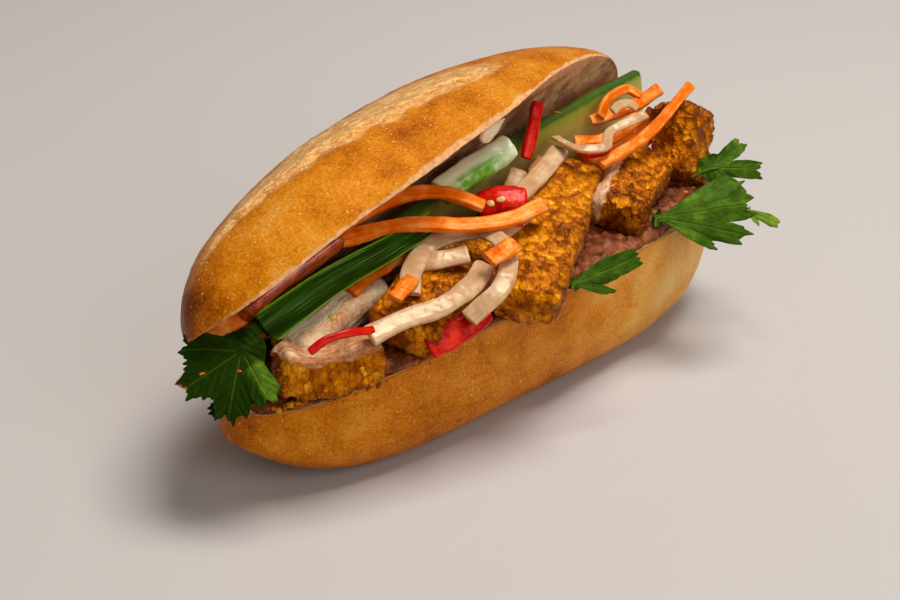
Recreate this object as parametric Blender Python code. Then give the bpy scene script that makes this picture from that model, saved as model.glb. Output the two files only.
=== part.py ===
"""Banh mi sandwich: a hinged roll held open over crumbed chicken, salad and pickles.

Metres, +Z up. The roll lies along X on a flat spot under its middle, which is the origin.
-Y is the open front. The strips, slices and leaves give way to what they lie against.
"""
import math
import bmesh
import bpy
import numpy as np

MM = 0.001

# The roll: a boat-shaped base and a domed lid, hinged along the back.
HALF_LENGTH = 110 * MM
HALF_WIDTH = 33.4 * MM
CUT_HEIGHT = 45.6 * MM
CUT_RISE = 6.0 * MM
CUT_SAG = 7.1 * MM
BASE_END_LEFT = 2.8
BASE_END_RIGHT = 3.1
SIDE_ROUND = 0.64
BELLY_ROUND = 0.38
BELLY_FLAT = 1.03
KEEL_LIFT = 0.65
KEEL_POWER = 6

LID_SHIFT = -9.0 * MM
LID_HALF_LENGTH = 107.0 * MM
LID_HALF_WIDTH = 36.4 * MM
LID_DEPTH = 40.6 * MM
LID_DISH = 9.0 * MM
LID_END_LEFT = 2.2
LID_END_RIGHT = 1.77
LID_END_SLANT = 7.0 * MM
# The lip stands higher to the left and a little lower right of the middle: how far, where and how wide.
LIP_RAISE = (3.5, -0.62, 0.30)
LIP_DROP = (1.8, 0.22, 0.22)
LID_OPEN_LEFT = 39.9
LID_OPEN_MIDDLE = 58.1
LID_OPEN_RIGHT = 86.6
HINGE_Y = 33.1 * MM
HINGE_Z = 34.1 * MM
HINGE_DRIFT = 0.8 * MM

ROLL_ROWS = 31
ARC_STEPS = 17
FACE_STEPS = 5
END_SKIP = 0.035

# The spread on the base.
PATE_THICK = 2.0 * MM
PATE_HEAP = 2.2 * MM
PATE_HEAP_AT = 62 * MM
PATE_HEAP_SPAN = 26 * MM
PATE_REACH = 0.93
PATE_FRONT = 1.2 * MM
PATE_BACK = 12 * MM
PATE_BACK_EDGE = 9 * MM
PATE_LIFT = 0.5 * MM
PATE_EDGE = 0.12
PATE_RAGGED = 0.8 * MM
PATE_RAGGED_SIZE = 11 * MM
PATE_LUMP = 0.18
PATE_LUMP_SIZE = 13 * MM
PATE_ROWS = 24
PATE_COLUMNS = 7

# Bars, strips and slices: how late and how far the ends round off, and the size of their lumps.
END_POWER = 16
END_LEAST = 0.45
END_CURVE = 0.35
LUMP_SIZE = 9 * MM

# The halved leaf: rows along it, points across it and how much its wall thins at the rims.
CHANNEL_ROWS = 14
CHANNEL_STEPS = 9
RIM_THINNING = 0.6

# Coriander blades and stalks.
BLADE_HALF = 0.35 * MM
BLADE_CIRCLES = 2
BLADE_HUB = 0.6
WIDEST_HUB = 1.2 * MM
BLADE_SPOKES = 11
SPOKES_PER_MM = 0.75
STALK_ROWS = 3
STALK_WIDTH = 1.6
STALK_ROOT = 3
LEAF_TOOTH = 0.05
LEAF_WAVE = 0.06
LEAF_WAVES = 5
SIDE_BEND = 0.6

# Clearance between pieces that touch.
GAP = 0.35 * MM
FLAT_ANGLE = 1.5
MERGE = 0.02 * MM

CRUST = (0.62, 0.30, 0.08)
PATE_BROWN = (0.20, 0.10, 0.085)
CRUMB_COAT = (0.62, 0.30, 0.05)
CARROT_ORANGE = (0.82, 0.20, 0.02)
DAIKON_WHITE = (0.75, 0.60, 0.38)
CHILLI_RED = (0.50, 0.01, 0.01)
CUCUMBER_GREEN = (0.30, 0.34, 0.11)
LEAF_GREEN = (0.04, 0.14, 0.015)
STEM_GREEN = (0.30, 0.48, 0.05)
TOMATO_RED = (0.42, 0.09, 0.05)
HERB_GREEN = (0.04, 0.16, 0.02)
CREAM = (0.80, 0.74, 0.58)

# Crumbed chicken: centre line, width, thickness and the way the broad face looks.
CHICKEN = {
    "crumbed_chicken_1": dict(path=[(-98, -13, 48), (-83, -19, 45), (-67, -26, 47.5)],
                              width=14, thick=15, face=(0.2, 0.1, 1.0)),
    "crumbed_chicken_2": dict(path=[(-86, -2, 48), (-66, 1, 49), (-46, 6, 50)],
                              width=17, thick=14, face=(0.0, -0.35, 1.0)),
    "crumbed_chicken_3": dict(path=[(-59, -25, 49.5), (-32, -12, 52), (-4, 2, 53)],
                              width=25, thick=12, face=(0.1, -0.15, 1.0)),
    "crumbed_chicken_4": dict(path=[(-20, -39, 51), (12, -18, 58), (47, 6, 62)],
                              width=25, thick=14, face=(-0.1, -0.25, 1.0)),
    "crumbed_chicken_5": dict(path=[(43, -21, 54), (60, -12, 58), (79, -4, 60)],
                              width=20, thick=14, face=(0.0, -0.3, 1.0)),
    "crumbed_chicken_6": dict(path=[(88, -8, 51), (95, -4, 60), (103, 2, 72)],
                              width=23, thick=18, face=(0.3, -1.0, 0.4)),
}

# Shredded carrot: flat strips, curls and chips.
CARROT = {
    "carrot_1": dict(path=[(-56, 8, 75), (-30, 10, 76), (-15, 4, 75), (-6, -7, 71)], width=5.5, thick=2.4,
                     face=(0.2, -0.6, 1.0)),
    "carrot_2": dict(path=[(-60, 5, 72), (-35, 1, 71), (-18, -12, 70), (-4, -18, 70), (9, -20, 72)],
                     width=5.5, thick=2.4, face=(0.2, -0.6, 1.0)),
    "carrot_3": dict(path=[(47, -9, 70), (72, -8, 74), (104, 1, 81)], width=4.4, thick=2.6,
                     face=(0.0, -0.5, 1.0)),
    "carrot_4": dict(path=[(66, 15, 73), (79, 9, 76), (96, 9, 79)], width=4.6, thick=2.2,
                     face=(0.0, -0.7, 1.0)),
    "carrot_5": dict(path=[(68, 12, 75), (75, 15, 79), (83, 14, 81), (86, 9, 79)], width=3.4, thick=2.0,
                     face=(0.0, -0.9, 0.6)),
    "carrot_6": dict(path=[(52, 9, 71), (62, 2, 72), (79, 3, 75)], width=5.0, thick=2.2,
                     face=(0.0, -0.6, 1.0)),
    "carrot_7": dict(path=[(-57, -21, 61), (-45, -16, 62)], width=5.0, thick=2.2, face=(-0.4, -0.5, 1.0)),
    "carrot_8": dict(path=[(-27, -32, 68.5), (-14, -31, 69.5)], width=6.0, thick=2.0, face=(-0.4, -0.5, 1.0)),
    "carrot_9": dict(path=[(-61, -1, 58), (-47, 1, 60), (-33, 3, 61)], width=9.0, thick=2.6,
                     face=(-0.3, -0.5, 1.0)),
    "carrot_10": dict(path=[(-108, 9, 52), (-98, 9, 56), (-87, 8, 60)], width=7.0, thick=2.2,
                      face=(-0.3, -0.8, 0.6)),
    "carrot_11": dict(path=[(-104, 6, 48), (-92, 6, 51), (-80, 6, 53)], width=7.0, thick=2.2,
                      face=(-0.3, -0.5, 1.0)),
    "carrot_12": dict(path=[(-90, 5, 65), (-93, 2, 58)], width=4.0, thick=1.8, face=(-0.5, -0.8, 0.3)),
    "carrot_13": dict(path=[(-121, 5, 43), (-112, 8, 46), (-103, 10, 48)], width=4.5, thick=2.2,
                      face=(-0.3, -0.5, 1.0)),
    "carrot_14": dict(path=[(54, 6, 63), (70, 8, 63), (86, 8, 63), (95, 8, 70)], width=8.0, thick=2.2,
                      face=(0.0, -0.7, 0.8)),
}

# Pickled daikon: broad soft ribbons that curl over the chicken.
DAIKON = {
    "daikon_1": dict(path=[(-73, -28, 57), (-60, -30, 59), (-48, -33, 60), (-34, -31, 61), (-22, -25, 62)],
                     width=6.8, thick=2.6, face=(-0.3, -0.5, 1.0)),
    "daikon_2": dict(path=[(-49, -19, 59), (-40, -10, 61), (-27, -5, 64), (-13, -11, 66), (-14, -26, 66),
                           (-26, -38, 62), (-41, -38, 55)], width=6.6, thick=2.0, face=(-0.3, -0.5, 1.0)),
    "daikon_3": dict(path=[(-37, -5, 60), (-30, -11, 61), (-21, -16, 62)], width=7.0,
                     thick=2.2, face=(-0.3, -0.5, 1.0)),
    "daikon_4": dict(path=[(44, 8, 71), (27, 0, 70), (11, -5, 68)], width=7.0, thick=3.0,
                     face=(-0.5, -0.5, 1.0)),
    "daikon_5": dict(path=[(45, 12, 74), (42, -3, 76), (50, -8, 76), (59, -2, 77), (76, -3, 79)], width=3.6,
                     thick=1.5, face=(0.0, -0.6, 1.0)),
    "daikon_6": dict(path=[(67.5, 5.5, 79.4), (73.2, 7.5, 79.8), (77.5, 6.5, 79.3), (79.2, 4.5, 77.5)],
                     width=3.2, thick=1.4, face=(0.0, -0.7, 0.7)),
    "daikon_7": dict(path=[(-12, -19, 65), (7, -14, 66)], width=5.0, thick=2.0, face=(-0.3, -0.5, 1.0)),
    "daikon_8": dict(path=[(14, 2, 66), (24, 8, 69)], width=6.0, thick=2.4, face=(-0.3, -0.5, 1.0)),
}

# Red chilli: slivers and a chunk.
CHILLI = {
    "chilli_1": dict(path=[(-93, -24, 57.5), (-87, -25, 60), (-80, -27, 60.5), (-71, -28, 58.5)], width=2.6,
                     thick=1.8, face=(-0.2, -0.7, 0.8)),
    "chilli_2": dict(path=[(-54, -34, 47.5), (-42, -35, 50), (-30, -35, 53)], width=8.0, thick=2.4,
                     face=(-0.2, -0.9, 0.8)),
    "chilli_3": dict(path=[(-2, 1, 66), (5, -3, 68), (12, -9, 68)], width=10.0, thick=5.0,
                     face=(-0.2, -0.6, 1.0)),
    "chilli_4": dict(path=[(40, 16, 88), (34, 12, 80), (28, 9, 72)], width=4.6, thick=2.6,
                     face=(-0.4, -1.0, 0.3)),
    "chilli_5": dict(path=[(49, 1, 71), (57, -5, 72)], width=6.0, thick=3.0, face=(0.0, -0.6, 1.0)),
    "chilli_6": dict(path=[(-5, -13, 66), (2, -17, 67)], width=4.5, thick=2.0, face=(-0.2, -0.6, 1.0)),
}

CUCUMBER = dict(path=[(-98, 10, 45), (-45, 17, 50), (15, 20, 61), (60, 21, 66), (101, 23, 68)],
                width=26, thick=5, face=(0.0, -0.74, -0.67), face_end=(0.0, -0.99, 0.1))
TOMATO = dict(path=[(-96, 6, 58), (-78, 6, 64), (-58, 5, 71)], width=24, thick=5,
              face=(0.0, -0.70, -0.71))
SPRING_ONION_LEAF = dict(path=[(-94, -4, 58), (-68, -3, 64), (-40, -2, 67), (-21, 0, 69)], width=12,
                         wall=1.6, depth=4.0, taper=0.62, face=(-0.35, -0.55, 0.75))
SPRING_ONION_STEM = dict(path=[(-14, 7, 73), (2, 7, 77), (18, 6, 81)], width=10, thick=7,
                         face=(-0.35, -0.55, 0.75))
MAYONNAISE = dict(path=[(2, 4, 89), (8, 4, 91), (14, 5, 93)], width=5.5, thick=3.6, face=(0.0, -1.0, 0.1))

# Lobes of a coriander blade: angle either side of the tip, size and half-width, in radians.
LEAF_SHAPES = {
    "round": dict(core=0.35, gather=0.3, power=4,
                  lobes=((0.0, 1.0, 0.48), (0.8, 1.0, 0.48), (1.5, 0.8, 0.42), (-0.65, 0.85, 0.42))),
    "fan": dict(core=0.08, gather=0.7, power=4,
                lobes=((0.02, 1.0, 0.30), (0.34, 0.97, 0.22), (-0.33, 0.93, 0.22), (-0.62, 0.62, 0.22))),
    "split": dict(core=0.30, gather=0.4, power=4,
                  lobes=((0.0, 1.0, 0.33), (0.75, 0.84, 0.32), (-0.75, 0.84, 0.32))),
    "narrow": dict(core=0.08, gather=0.8, power=2, lobes=((0.0, 1.0, 0.34), (-0.55, 0.5, 0.28))),
}

# Coriander: blade centre, the way its tip points, the way its face looks, size and stalk.
CORIANDER = {
    "coriander_1": dict(centre=(-106, -7.3, 55.5), tip=(-0.85, 0.3, -0.45), face=(-0.45, -0.5, 0.72),
                        radius=21, teeth=26, shape="round", stalk=[(-103, -5, 56), (-99, -1, 56)], bend=0.15),
    "coriander_2": dict(centre=(-101.8, -6.2, 54), tip=(-0.33, -0.38, -0.86), face=(-0.85, -0.1, 0.3),
                        radius=13, teeth=20, shape="narrow", stalk=[(-100, -3, 56), (-97, 1, 56)], bend=0.2),
    "coriander_3": dict(centre=(6, -38.5, 50.2), tip=(0.99, 0.0, -0.12), face=(-0.3, -0.6, 0.75), radius=26,
                        teeth=30, shape="narrow", stalk=[(5, -38.8, 50.2), (3.5, -40, 49.8)], bend=0.05),
    "coriander_4": dict(centre=(57, -29, 53.5), tip=(0.80, -0.56, 0.12), face=(-0.4, -0.45, 0.8), radius=33,
                        teeth=34, shape="fan", stalk=[(55.5, -29, 53.5), (52.5, -31.5, 52.5)], bend=0.08),
    "coriander_5": dict(centre=(96, -19, 57), tip=(0.75, -0.66, -0.03), face=(-0.45, -0.5, 0.74), radius=18,
                        teeth=24, shape="split", stalk=[(93, -19, 57), (87, -16.5, 55)], bend=0.15),
    "coriander_6": dict(centre=(96, -37, 46.5), tip=(0.42, -0.75, -0.5), face=(-0.3, -0.3, 0.9), radius=13,
                        teeth=20, shape="narrow", stalk=[(92, -32, 48), (85, -25, 50)], bend=0.1),
    "coriander_7": dict(centre=(-105, -14, 41), tip=(-0.81, 0.55, -0.2), face=(-0.45, -0.5, 0.74), radius=17,
                        teeth=24, shape="narrow", stalk=[(-103.5, -14, 42), (-102.5, -12, 45)], bend=0.1),
}


def clear_scene():
    for item in list(bpy.data.objects):
        bpy.data.objects.remove(item, do_unlink=True)


def unit(v):
    return v / np.maximum(np.linalg.norm(v, axis=-1, keepdims=True), 1e-12)


def finish(name, vertices, faces, colour, roughness):
    """Make the closed mesh an object with its own material, faces outward."""
    mesh = bpy.data.meshes.new(name)
    mesh.from_pydata([tuple(v) for v in vertices], [], [tuple(f) for f in faces])
    work = bmesh.new()
    work.from_mesh(mesh)
    bmesh.ops.remove_doubles(work, verts=work.verts, dist=MERGE)
    bmesh.ops.recalc_face_normals(work, faces=work.faces)
    bmesh.ops.triangulate(work, faces=work.faces)
    work.to_mesh(mesh)
    work.free()
    item = bpy.data.objects.new(name, mesh)
    bpy.context.scene.collection.objects.link(item)
    paint(item, colour, roughness)
    return item


def paint(item, colour, roughness):
    material = bpy.data.materials.new(item.name)
    material.use_nodes = True
    shader = material.node_tree.nodes["Principled BSDF"]
    shader.inputs["Base Color"].default_value = (*colour, 1.0)
    shader.inputs["Roughness"].default_value = roughness
    shader.inputs["Metallic"].default_value = 0.0
    item.data.materials.clear()
    item.data.materials.append(material)
    item.data.shade_smooth()
    item.data.set_sharp_from_angle(angle=math.radians(50))


def tube_faces(rows, columns):
    """Quads between closed rings, and a fan to a middle point at each end."""
    faces = []
    for i in range(rows - 1):
        for j in range(columns):
            k = (j + 1) % columns
            faces.append((i * columns + j, i * columns + k, (i + 1) * columns + k, (i + 1) * columns + j))
    first = rows * columns
    last = (rows - 1) * columns
    for j in range(columns):
        k = (j + 1) % columns
        faces.append((k, j, first))
        faces.append((last + j, last + k, first + 1))
    return faces


def tube(name, rings, colour, roughness):
    """Close a stack of rings into a solid; rings has the shape rows, columns, 3."""
    rows, columns = rings.shape[:2]
    ends = np.stack([rings[0].mean(0), rings[-1].mean(0)])
    vertices = np.vstack([rings.reshape(-1, 3), ends])
    return finish(name, vertices, tube_faces(rows, columns), colour, roughness)


def end_fall(u, left, right):
    """1 in the middle and 0 at both ends, blunt where the power is high."""
    power = np.where(u < 0, left, right)
    return np.sqrt(np.clip(1 - np.abs(u) ** power, 0, 1))


def stations(count):
    """Places from -1 to 1, closer together towards the ends."""
    return np.sin(np.linspace(-math.pi / 2 + END_SKIP, math.pi / 2 - END_SKIP, count))


def cut_height(x):
    u = x / HALF_LENGTH
    return CUT_HEIGHT + CUT_RISE * u - CUT_SAG * u * u


def base_half_width(x):
    return HALF_WIDTH * end_fall(x / HALF_LENGTH, BASE_END_LEFT, BASE_END_RIGHT)


def make_base():
    u = stations(ROLL_ROWS)
    x = u * HALF_LENGTH
    width = base_half_width(x)[:, None]
    top = cut_height(x)[:, None]
    keel = top * KEEL_LIFT * np.abs(u[:, None]) ** KEEL_POWER
    turn = np.linspace(0, math.pi, ARC_STEPS)[None]
    side = np.cos(turn)
    y = -width * np.sign(side) * np.abs(side) ** SIDE_ROUND
    z = top - (top - keel) * BELLY_FLAT * np.clip(np.sin(turn), 0, 1) ** BELLY_ROUND
    z = np.maximum(z, 0)
    across = np.linspace(1, -1, FACE_STEPS + 2)[None, 1:-1]
    y = np.hstack([y, width * across])
    z = np.hstack([z, top + 0 * across])
    rings = np.stack([np.repeat(x[:, None], y.shape[1], 1), y, z], -1)
    return tube("roll", rings, CRUST, 0.5)


def lid_frame(u):
    """Middle of the lid's cut face, the way to its lip and the way out of it."""
    opening = LID_OPEN_LEFT * u * (u - 1) / 2 + LID_OPEN_RIGHT * u * (u + 1) / 2
    opening = np.radians(opening + LID_OPEN_MIDDLE * (1 - u * u))
    lip = np.stack([0 * u, -np.cos(opening), np.sin(opening)], -1)
    out = np.stack([0 * u, np.sin(opening), np.cos(opening)], -1)
    drift = HINGE_DRIFT * (u + 1)
    hinge = np.stack([LID_SHIFT + u * LID_HALF_LENGTH, HINGE_Y + drift, HINGE_Z + drift], -1)
    return hinge + LID_HALF_WIDTH * lip, lip, out


def lip_lift(u):
    """How far the lip stands above the plane of the cut face, in mm."""
    raised, raised_at, raised_span = LIP_RAISE
    dropped, dropped_at, dropped_span = LIP_DROP
    lift = raised * np.exp(-((u - raised_at) / raised_span) ** 2)
    return lift - dropped * np.exp(-((u - dropped_at) / dropped_span) ** 2)


def make_lid():
    u = stations(ROLL_ROWS)
    middle, lip, out = lid_frame(u)
    fall = end_fall(u, LID_END_LEFT, LID_END_RIGHT)[:, None]
    turn = np.linspace(0, math.pi, ARC_STEPS)[None]
    across = np.linspace(-1, 1, FACE_STEPS + 2)[None, 1:-1]
    side = np.hstack([fall * np.cos(turn), fall * across]) * LID_HALF_WIDTH
    rise = np.hstack([fall * np.clip(np.sin(turn), 0, 1) * LID_DEPTH,
                      fall * (1 - across ** 2) * LID_DISH])
    rise = rise + lip_lift(u)[:, None] * MM * fall * np.clip(side / LID_HALF_WIDTH, 0, 1) ** 2
    rings = middle[:, None] + side[..., None] * lip[:, None] + rise[..., None] * out[:, None]
    slant = LID_END_SLANT * np.clip(u, 0, 1) ** 2
    rings[..., 0] += slant[:, None] * side / LID_HALF_WIDTH
    return tube("lid", rings, CRUST, 0.5)


def evaluated(item):
    graph = bpy.context.evaluated_depsgraph_get()
    return bpy.data.meshes.new_from_object(item.evaluated_get(graph))


def combine(item, other, operation):
    """Boolean of two objects; the first keeps the result."""
    change = item.modifiers.new("combine", "BOOLEAN")
    change.operation = operation
    change.solver = "EXACT"
    change.object = other
    bpy.context.view_layer.update()
    mesh = evaluated(item)
    item.modifiers.remove(change)
    item.data = mesh
    return item


def largest_body(work):
    """Delete every loose body but the one with the most corners."""
    seen = set()
    bodies = []
    for start in work.verts:
        if start in seen:
            continue
        body = [start]
        seen.add(start)
        for vertex in body:
            for edge in vertex.link_edges:
                other = edge.other_vert(vertex)
                if other not in seen:
                    seen.add(other)
                    body.append(other)
        bodies.append(body)
    bodies.sort(key=len)
    for body in bodies[:-1]:
        bmesh.ops.delete(work, geom=body, context="VERTS")


def tidy(item):
    """Merge coincident corners, drop scraps and flatten needless edges where the skin stays closed."""
    for simplify in (True, False):
        work = bmesh.new()
        work.from_mesh(item.data)
        bmesh.ops.remove_doubles(work, verts=work.verts, dist=MERGE)
        if simplify:
            bmesh.ops.dissolve_limit(work, angle_limit=math.radians(FLAT_ANGLE), verts=work.verts,
                                     edges=work.edges)
            bmesh.ops.dissolve_degenerate(work, edges=work.edges, dist=MERGE)
        bmesh.ops.triangulate(work, faces=work.faces)
        largest_body(work)
        closed = all(edge.is_manifold for edge in work.edges)
        if closed or not simplify:
            work.to_mesh(item.data)
        work.free()
        if closed:
            break


def make_roll():
    roll = make_base()
    lid = make_lid()
    combine(roll, lid, "UNION")
    bpy.data.objects.remove(lid)
    tidy(roll)
    paint(roll, CRUST, 0.5)
    return roll


def curve_through(points, count):
    """Smooth curve through hand-placed points, evenly stepped (Catmull-Rom)."""
    points = np.array(points, float) * MM
    padded = np.vstack([2 * points[0] - points[1], points, 2 * points[-1] - points[-2]])
    spans = len(points) - 1
    place = np.linspace(0, spans, 40 * spans + 1)
    k = np.minimum(place.astype(int), spans - 1)
    t = (place - k)[:, None]
    a, b, c, d = padded[k], padded[k + 1], padded[k + 2], padded[k + 3]
    fine = 0.5 * (2 * b + (c - a) * t + (2 * a - 5 * b + 4 * c - d) * t ** 2
                  + (3 * b - a - 3 * c + d) * t ** 3)
    walked = np.concatenate([[0], np.cumsum(np.linalg.norm(np.diff(fine, axis=0), axis=1))])
    even = np.linspace(0, walked[-1], count)
    return np.stack([np.interp(even, walked, fine[:, i]) for i in range(3)], -1)


def frames(path, face, face_end=None):
    """Side and face directions at every point of a path."""
    along = unit(np.gradient(path, axis=0))
    t = np.linspace(0, 1, len(path))[:, None]
    start = np.array(face, float)
    end = start if face_end is None else np.array(face_end, float)
    look = start * (1 - t) + end * t
    look = unit(look - (look * along).sum(-1, keepdims=True) * along)
    return np.cross(along, look), look


def lumps(points, height, size, seed):
    """Smooth uneven offset at each point, from a few seeded waves."""
    draw = np.random.default_rng(seed)
    total = np.zeros(points.shape[:-1])
    for _ in range(6):
        wave = unit(draw.normal(size=3)) * 2 * math.pi / size * draw.uniform(0.7, 1.5)
        total += np.sin(points @ wave + draw.uniform(0, 2 * math.pi))
    return height * total / 3


def swept(name, spec, colour, roughness, rows=9, columns=8, square=4.0, bulk=0.0, seed=1):
    """A bar or ribbon with a rounded-box section carried along its path."""
    path = curve_through(spec["path"], rows)
    side, look = frames(path, spec["face"], spec.get("face_end"))
    s = np.linspace(-1, 1, rows)[:, None, None]
    fall = np.clip(1 - np.abs(s) ** END_POWER, END_LEAST, 1) ** END_CURVE
    turn = (np.arange(columns) + 0.5) / columns * 2 * math.pi
    power = 2 / square
    a = np.sign(np.cos(turn)) * np.abs(np.cos(turn)) ** power
    b = np.sign(np.sin(turn)) * np.abs(np.sin(turn)) ** power
    across = a[None, :, None] * spec["width"] / 2 * MM * side[:, None]
    deep = b[None, :, None] * spec["thick"] / 2 * MM * look[:, None]
    rings = path[:, None] + (across + deep) * fall
    if bulk:
        out = unit(across + deep)
        rings = rings + out * lumps(rings, bulk * MM, LUMP_SIZE, seed)[..., None]
    return tube(name, rings, colour, roughness)


def make_leaf_channel(name, spec, colour):
    """A halved hollow leaf: a curved wall, thin at both rims."""
    path = curve_through(spec["path"], CHANNEL_ROWS)
    side, look = frames(path, spec["face"])
    turn = np.linspace(-1, 1, CHANNEL_STEPS)
    half = spec["width"] / 2 * MM
    depth = spec["depth"] * MM
    wall = spec["wall"] * MM
    inner = np.stack([half * turn, depth * (turn ** 2 - 1)], -1)
    thinned = wall * (1 - RIM_THINNING * turn ** 2)
    outer = np.stack([half * turn, depth * (turn ** 2 - 1) - thinned], -1)[::-1]
    size = np.linspace(1, spec["taper"], CHANNEL_ROWS)[:, None, None]
    loop = np.vstack([inner, outer])[None] * size
    rings = path[:, None] + loop[..., :1] * side[:, None] + loop[..., 1:] * look[:, None]
    return tube(name, rings, colour, 0.35)


def make_pate():
    """A soft spread over the base, ragged at the front and heaped near its right end."""
    x = np.linspace(-PATE_REACH, PATE_REACH, PATE_ROWS) * HALF_LENGTH
    ragged = lumps(np.stack([x, 0 * x, 0 * x], -1), PATE_RAGGED, PATE_RAGGED_SIZE, 4)
    front = -base_half_width(x) + PATE_FRONT + ragged
    back = np.minimum(PATE_BACK, base_half_width(x) - PATE_BACK_EDGE)
    v = np.linspace(0, 1, PATE_COLUMNS)
    y = front[:, None] + (back - front)[:, None] * v
    floor = cut_height(x)[:, None] + PATE_LIFT + 0 * y
    heap = PATE_HEAP * np.exp(-((x - PATE_HEAP_AT) / PATE_HEAP_SPAN) ** 2)[:, None]
    edge = np.sqrt(np.clip(np.sin(math.pi * v), PATE_EDGE, 1))[None]
    spots = np.stack([np.repeat(x[:, None], PATE_COLUMNS, 1), y, 0 * y], -1)
    thick = (PATE_THICK + heap) * edge * (1 + lumps(spots, PATE_LUMP, PATE_LUMP_SIZE, 5))
    top = np.stack([spots[..., 0], y, floor + thick], -1)
    under = np.stack([spots[..., 0], y, floor], -1)[:, ::-1]
    rings = np.concatenate([top, under], 1)
    return tube("pate", rings, PATE_BROWN, 0.6)


def blade_outline(angle, shape, teeth):
    """Share of the leaf's size at each angle: rounded lobes with teeth, 0 is the tip."""
    reach = np.zeros_like(angle)
    for at, size, width in shape["lobes"]:
        reach = np.maximum(reach, size * np.exp(-np.abs((angle - at) / width) ** shape["power"]))
    return shape["core"] + (1 - shape["core"]) * reach + LEAF_TOOTH * np.cos(teeth * angle) * reach


def make_coriander(name, spec):
    """A thin wavy blade with rounded lobes and teeth, on its own stalk."""
    spokes = BLADE_SPOKES + int(SPOKES_PER_MM * spec["radius"])
    face = unit(np.array(spec["face"], float))
    tip = np.array(spec["tip"], float)
    tip = unit(tip - (tip @ face) * face)
    side = np.cross(face, tip)
    centre = np.array(spec["centre"], float) * MM
    shape = LEAF_SHAPES[spec["shape"]]
    angle = (np.arange(spokes) + 0.5) / spokes * 2 * math.pi - math.pi
    angle = angle - shape["gather"] * np.sin(angle)
    size = spec["radius"] * MM
    hub = min(BLADE_HUB * shape["core"] * size, WIDEST_HUB)
    reach = np.linspace(0, 1, BLADE_CIRCLES)[:, None]
    radius = hub + (size * blade_outline(angle, shape, spec["teeth"]) - hub) * reach
    flat_x = radius * np.cos(angle)
    flat_y = radius * np.sin(angle)
    rise = -spec["bend"] * (flat_x ** 2 + SIDE_BEND * flat_y ** 2) / size
    rise = rise + LEAF_WAVE * size * np.sin(LEAF_WAVES * angle + 1) * reach ** 2
    sheet = centre + flat_x[..., None] * tip + flat_y[..., None] * side + rise[..., None] * face
    half = BLADE_HALF * face
    rings = np.concatenate([sheet + half, sheet[::-1] - half], 0)
    item = tube(name, rings, HERB_GREEN, 0.5)
    start = tuple(np.array(spec["centre"], float) + STALK_ROOT * tip)
    line = dict(path=[start] + spec["stalk"], face=spec["face"], width=STALK_WIDTH, thick=STALK_WIDTH)
    stalk = swept("stalk", line, HERB_GREEN, 0.5, rows=STALK_ROWS, columns=6, square=2.0)
    combine(item, stalk, "UNION")
    bpy.data.objects.remove(stalk)
    tidy(item)
    paint(item, HERB_GREEN, 0.5)
    return item


def corners(item):
    flat = np.empty(len(item.data.vertices) * 3, np.float32)
    item.data.vertices.foreach_get("co", flat)
    return flat.reshape(-1, 3)


def boxes_meet(first, second):
    a, b = corners(first), corners(second)
    return bool(np.all(a.min(0) < b.max(0) + GAP) and np.all(b.min(0) < a.max(0) + GAP))


def swollen(item):
    """A copy of a piece, larger by the gap all round, used as a cutter."""
    mesh = item.data.copy()
    normals = np.empty(len(mesh.vertices) * 3, np.float32)
    mesh.vertices.foreach_get("normal", normals)
    mesh.vertices.foreach_set("co", (corners(item) + GAP * normals.reshape(-1, 3)).ravel())
    copy = bpy.data.objects.new("cutter", mesh)
    copy.hide_render = True
    copy.display_type = "WIRE"
    bpy.context.scene.collection.objects.link(copy)
    return copy


def give_way(item, placed):
    """Cut a piece back from everything that is already in place."""
    material = item.data.materials[0]
    for other in placed:
        if not boxes_meet(item, other):
            continue
        cutter = swollen(other)
        combine(item, cutter, "DIFFERENCE")
        bpy.data.objects.remove(cutter)
        tidy(item)
    item.data.materials.clear()
    item.data.materials.append(material)


def main():
    clear_scene()
    placed = [make_roll(), make_pate()]
    pieces = []
    for seed, (name, spec) in enumerate(CHICKEN.items()):
        pieces.append(swept(name, spec, CRUMB_COAT, 0.6, 12, 12, 5.0, 0.7, seed))
    pieces.append(swept("cucumber", CUCUMBER, CUCUMBER_GREEN, 0.3, 16, 10, 5.0))
    pieces.append(swept("tomato", TOMATO, TOMATO_RED, 0.25, 9, 10, 3.0, 0.3, 21))
    pieces.append(make_leaf_channel("spring_onion_leaf", SPRING_ONION_LEAF, LEAF_GREEN))
    pieces.append(swept("spring_onion_stem", SPRING_ONION_STEM, STEM_GREEN, 0.3, 9, 10, 2.2))
    pieces.append(swept("mayonnaise", MAYONNAISE, CREAM, 0.3, 8, 10, 2.2, 0.5, 31))
    for name, spec in CHILLI.items():
        pieces.append(swept(name, spec, CHILLI_RED, 0.25))
    for name, spec in DAIKON.items():
        pieces.append(swept(name, spec, DAIKON_WHITE, 0.35, 4 + 3 * len(spec["path"])))
    for name, spec in CARROT.items():
        pieces.append(swept(name, spec, CARROT_ORANGE, 0.35, 3 + 3 * len(spec["path"])))
    for name, spec in CORIANDER.items():
        pieces.append(make_coriander(name, spec))
    for piece in pieces:
        give_way(piece, placed)
        placed.append(piece)


main()
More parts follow.
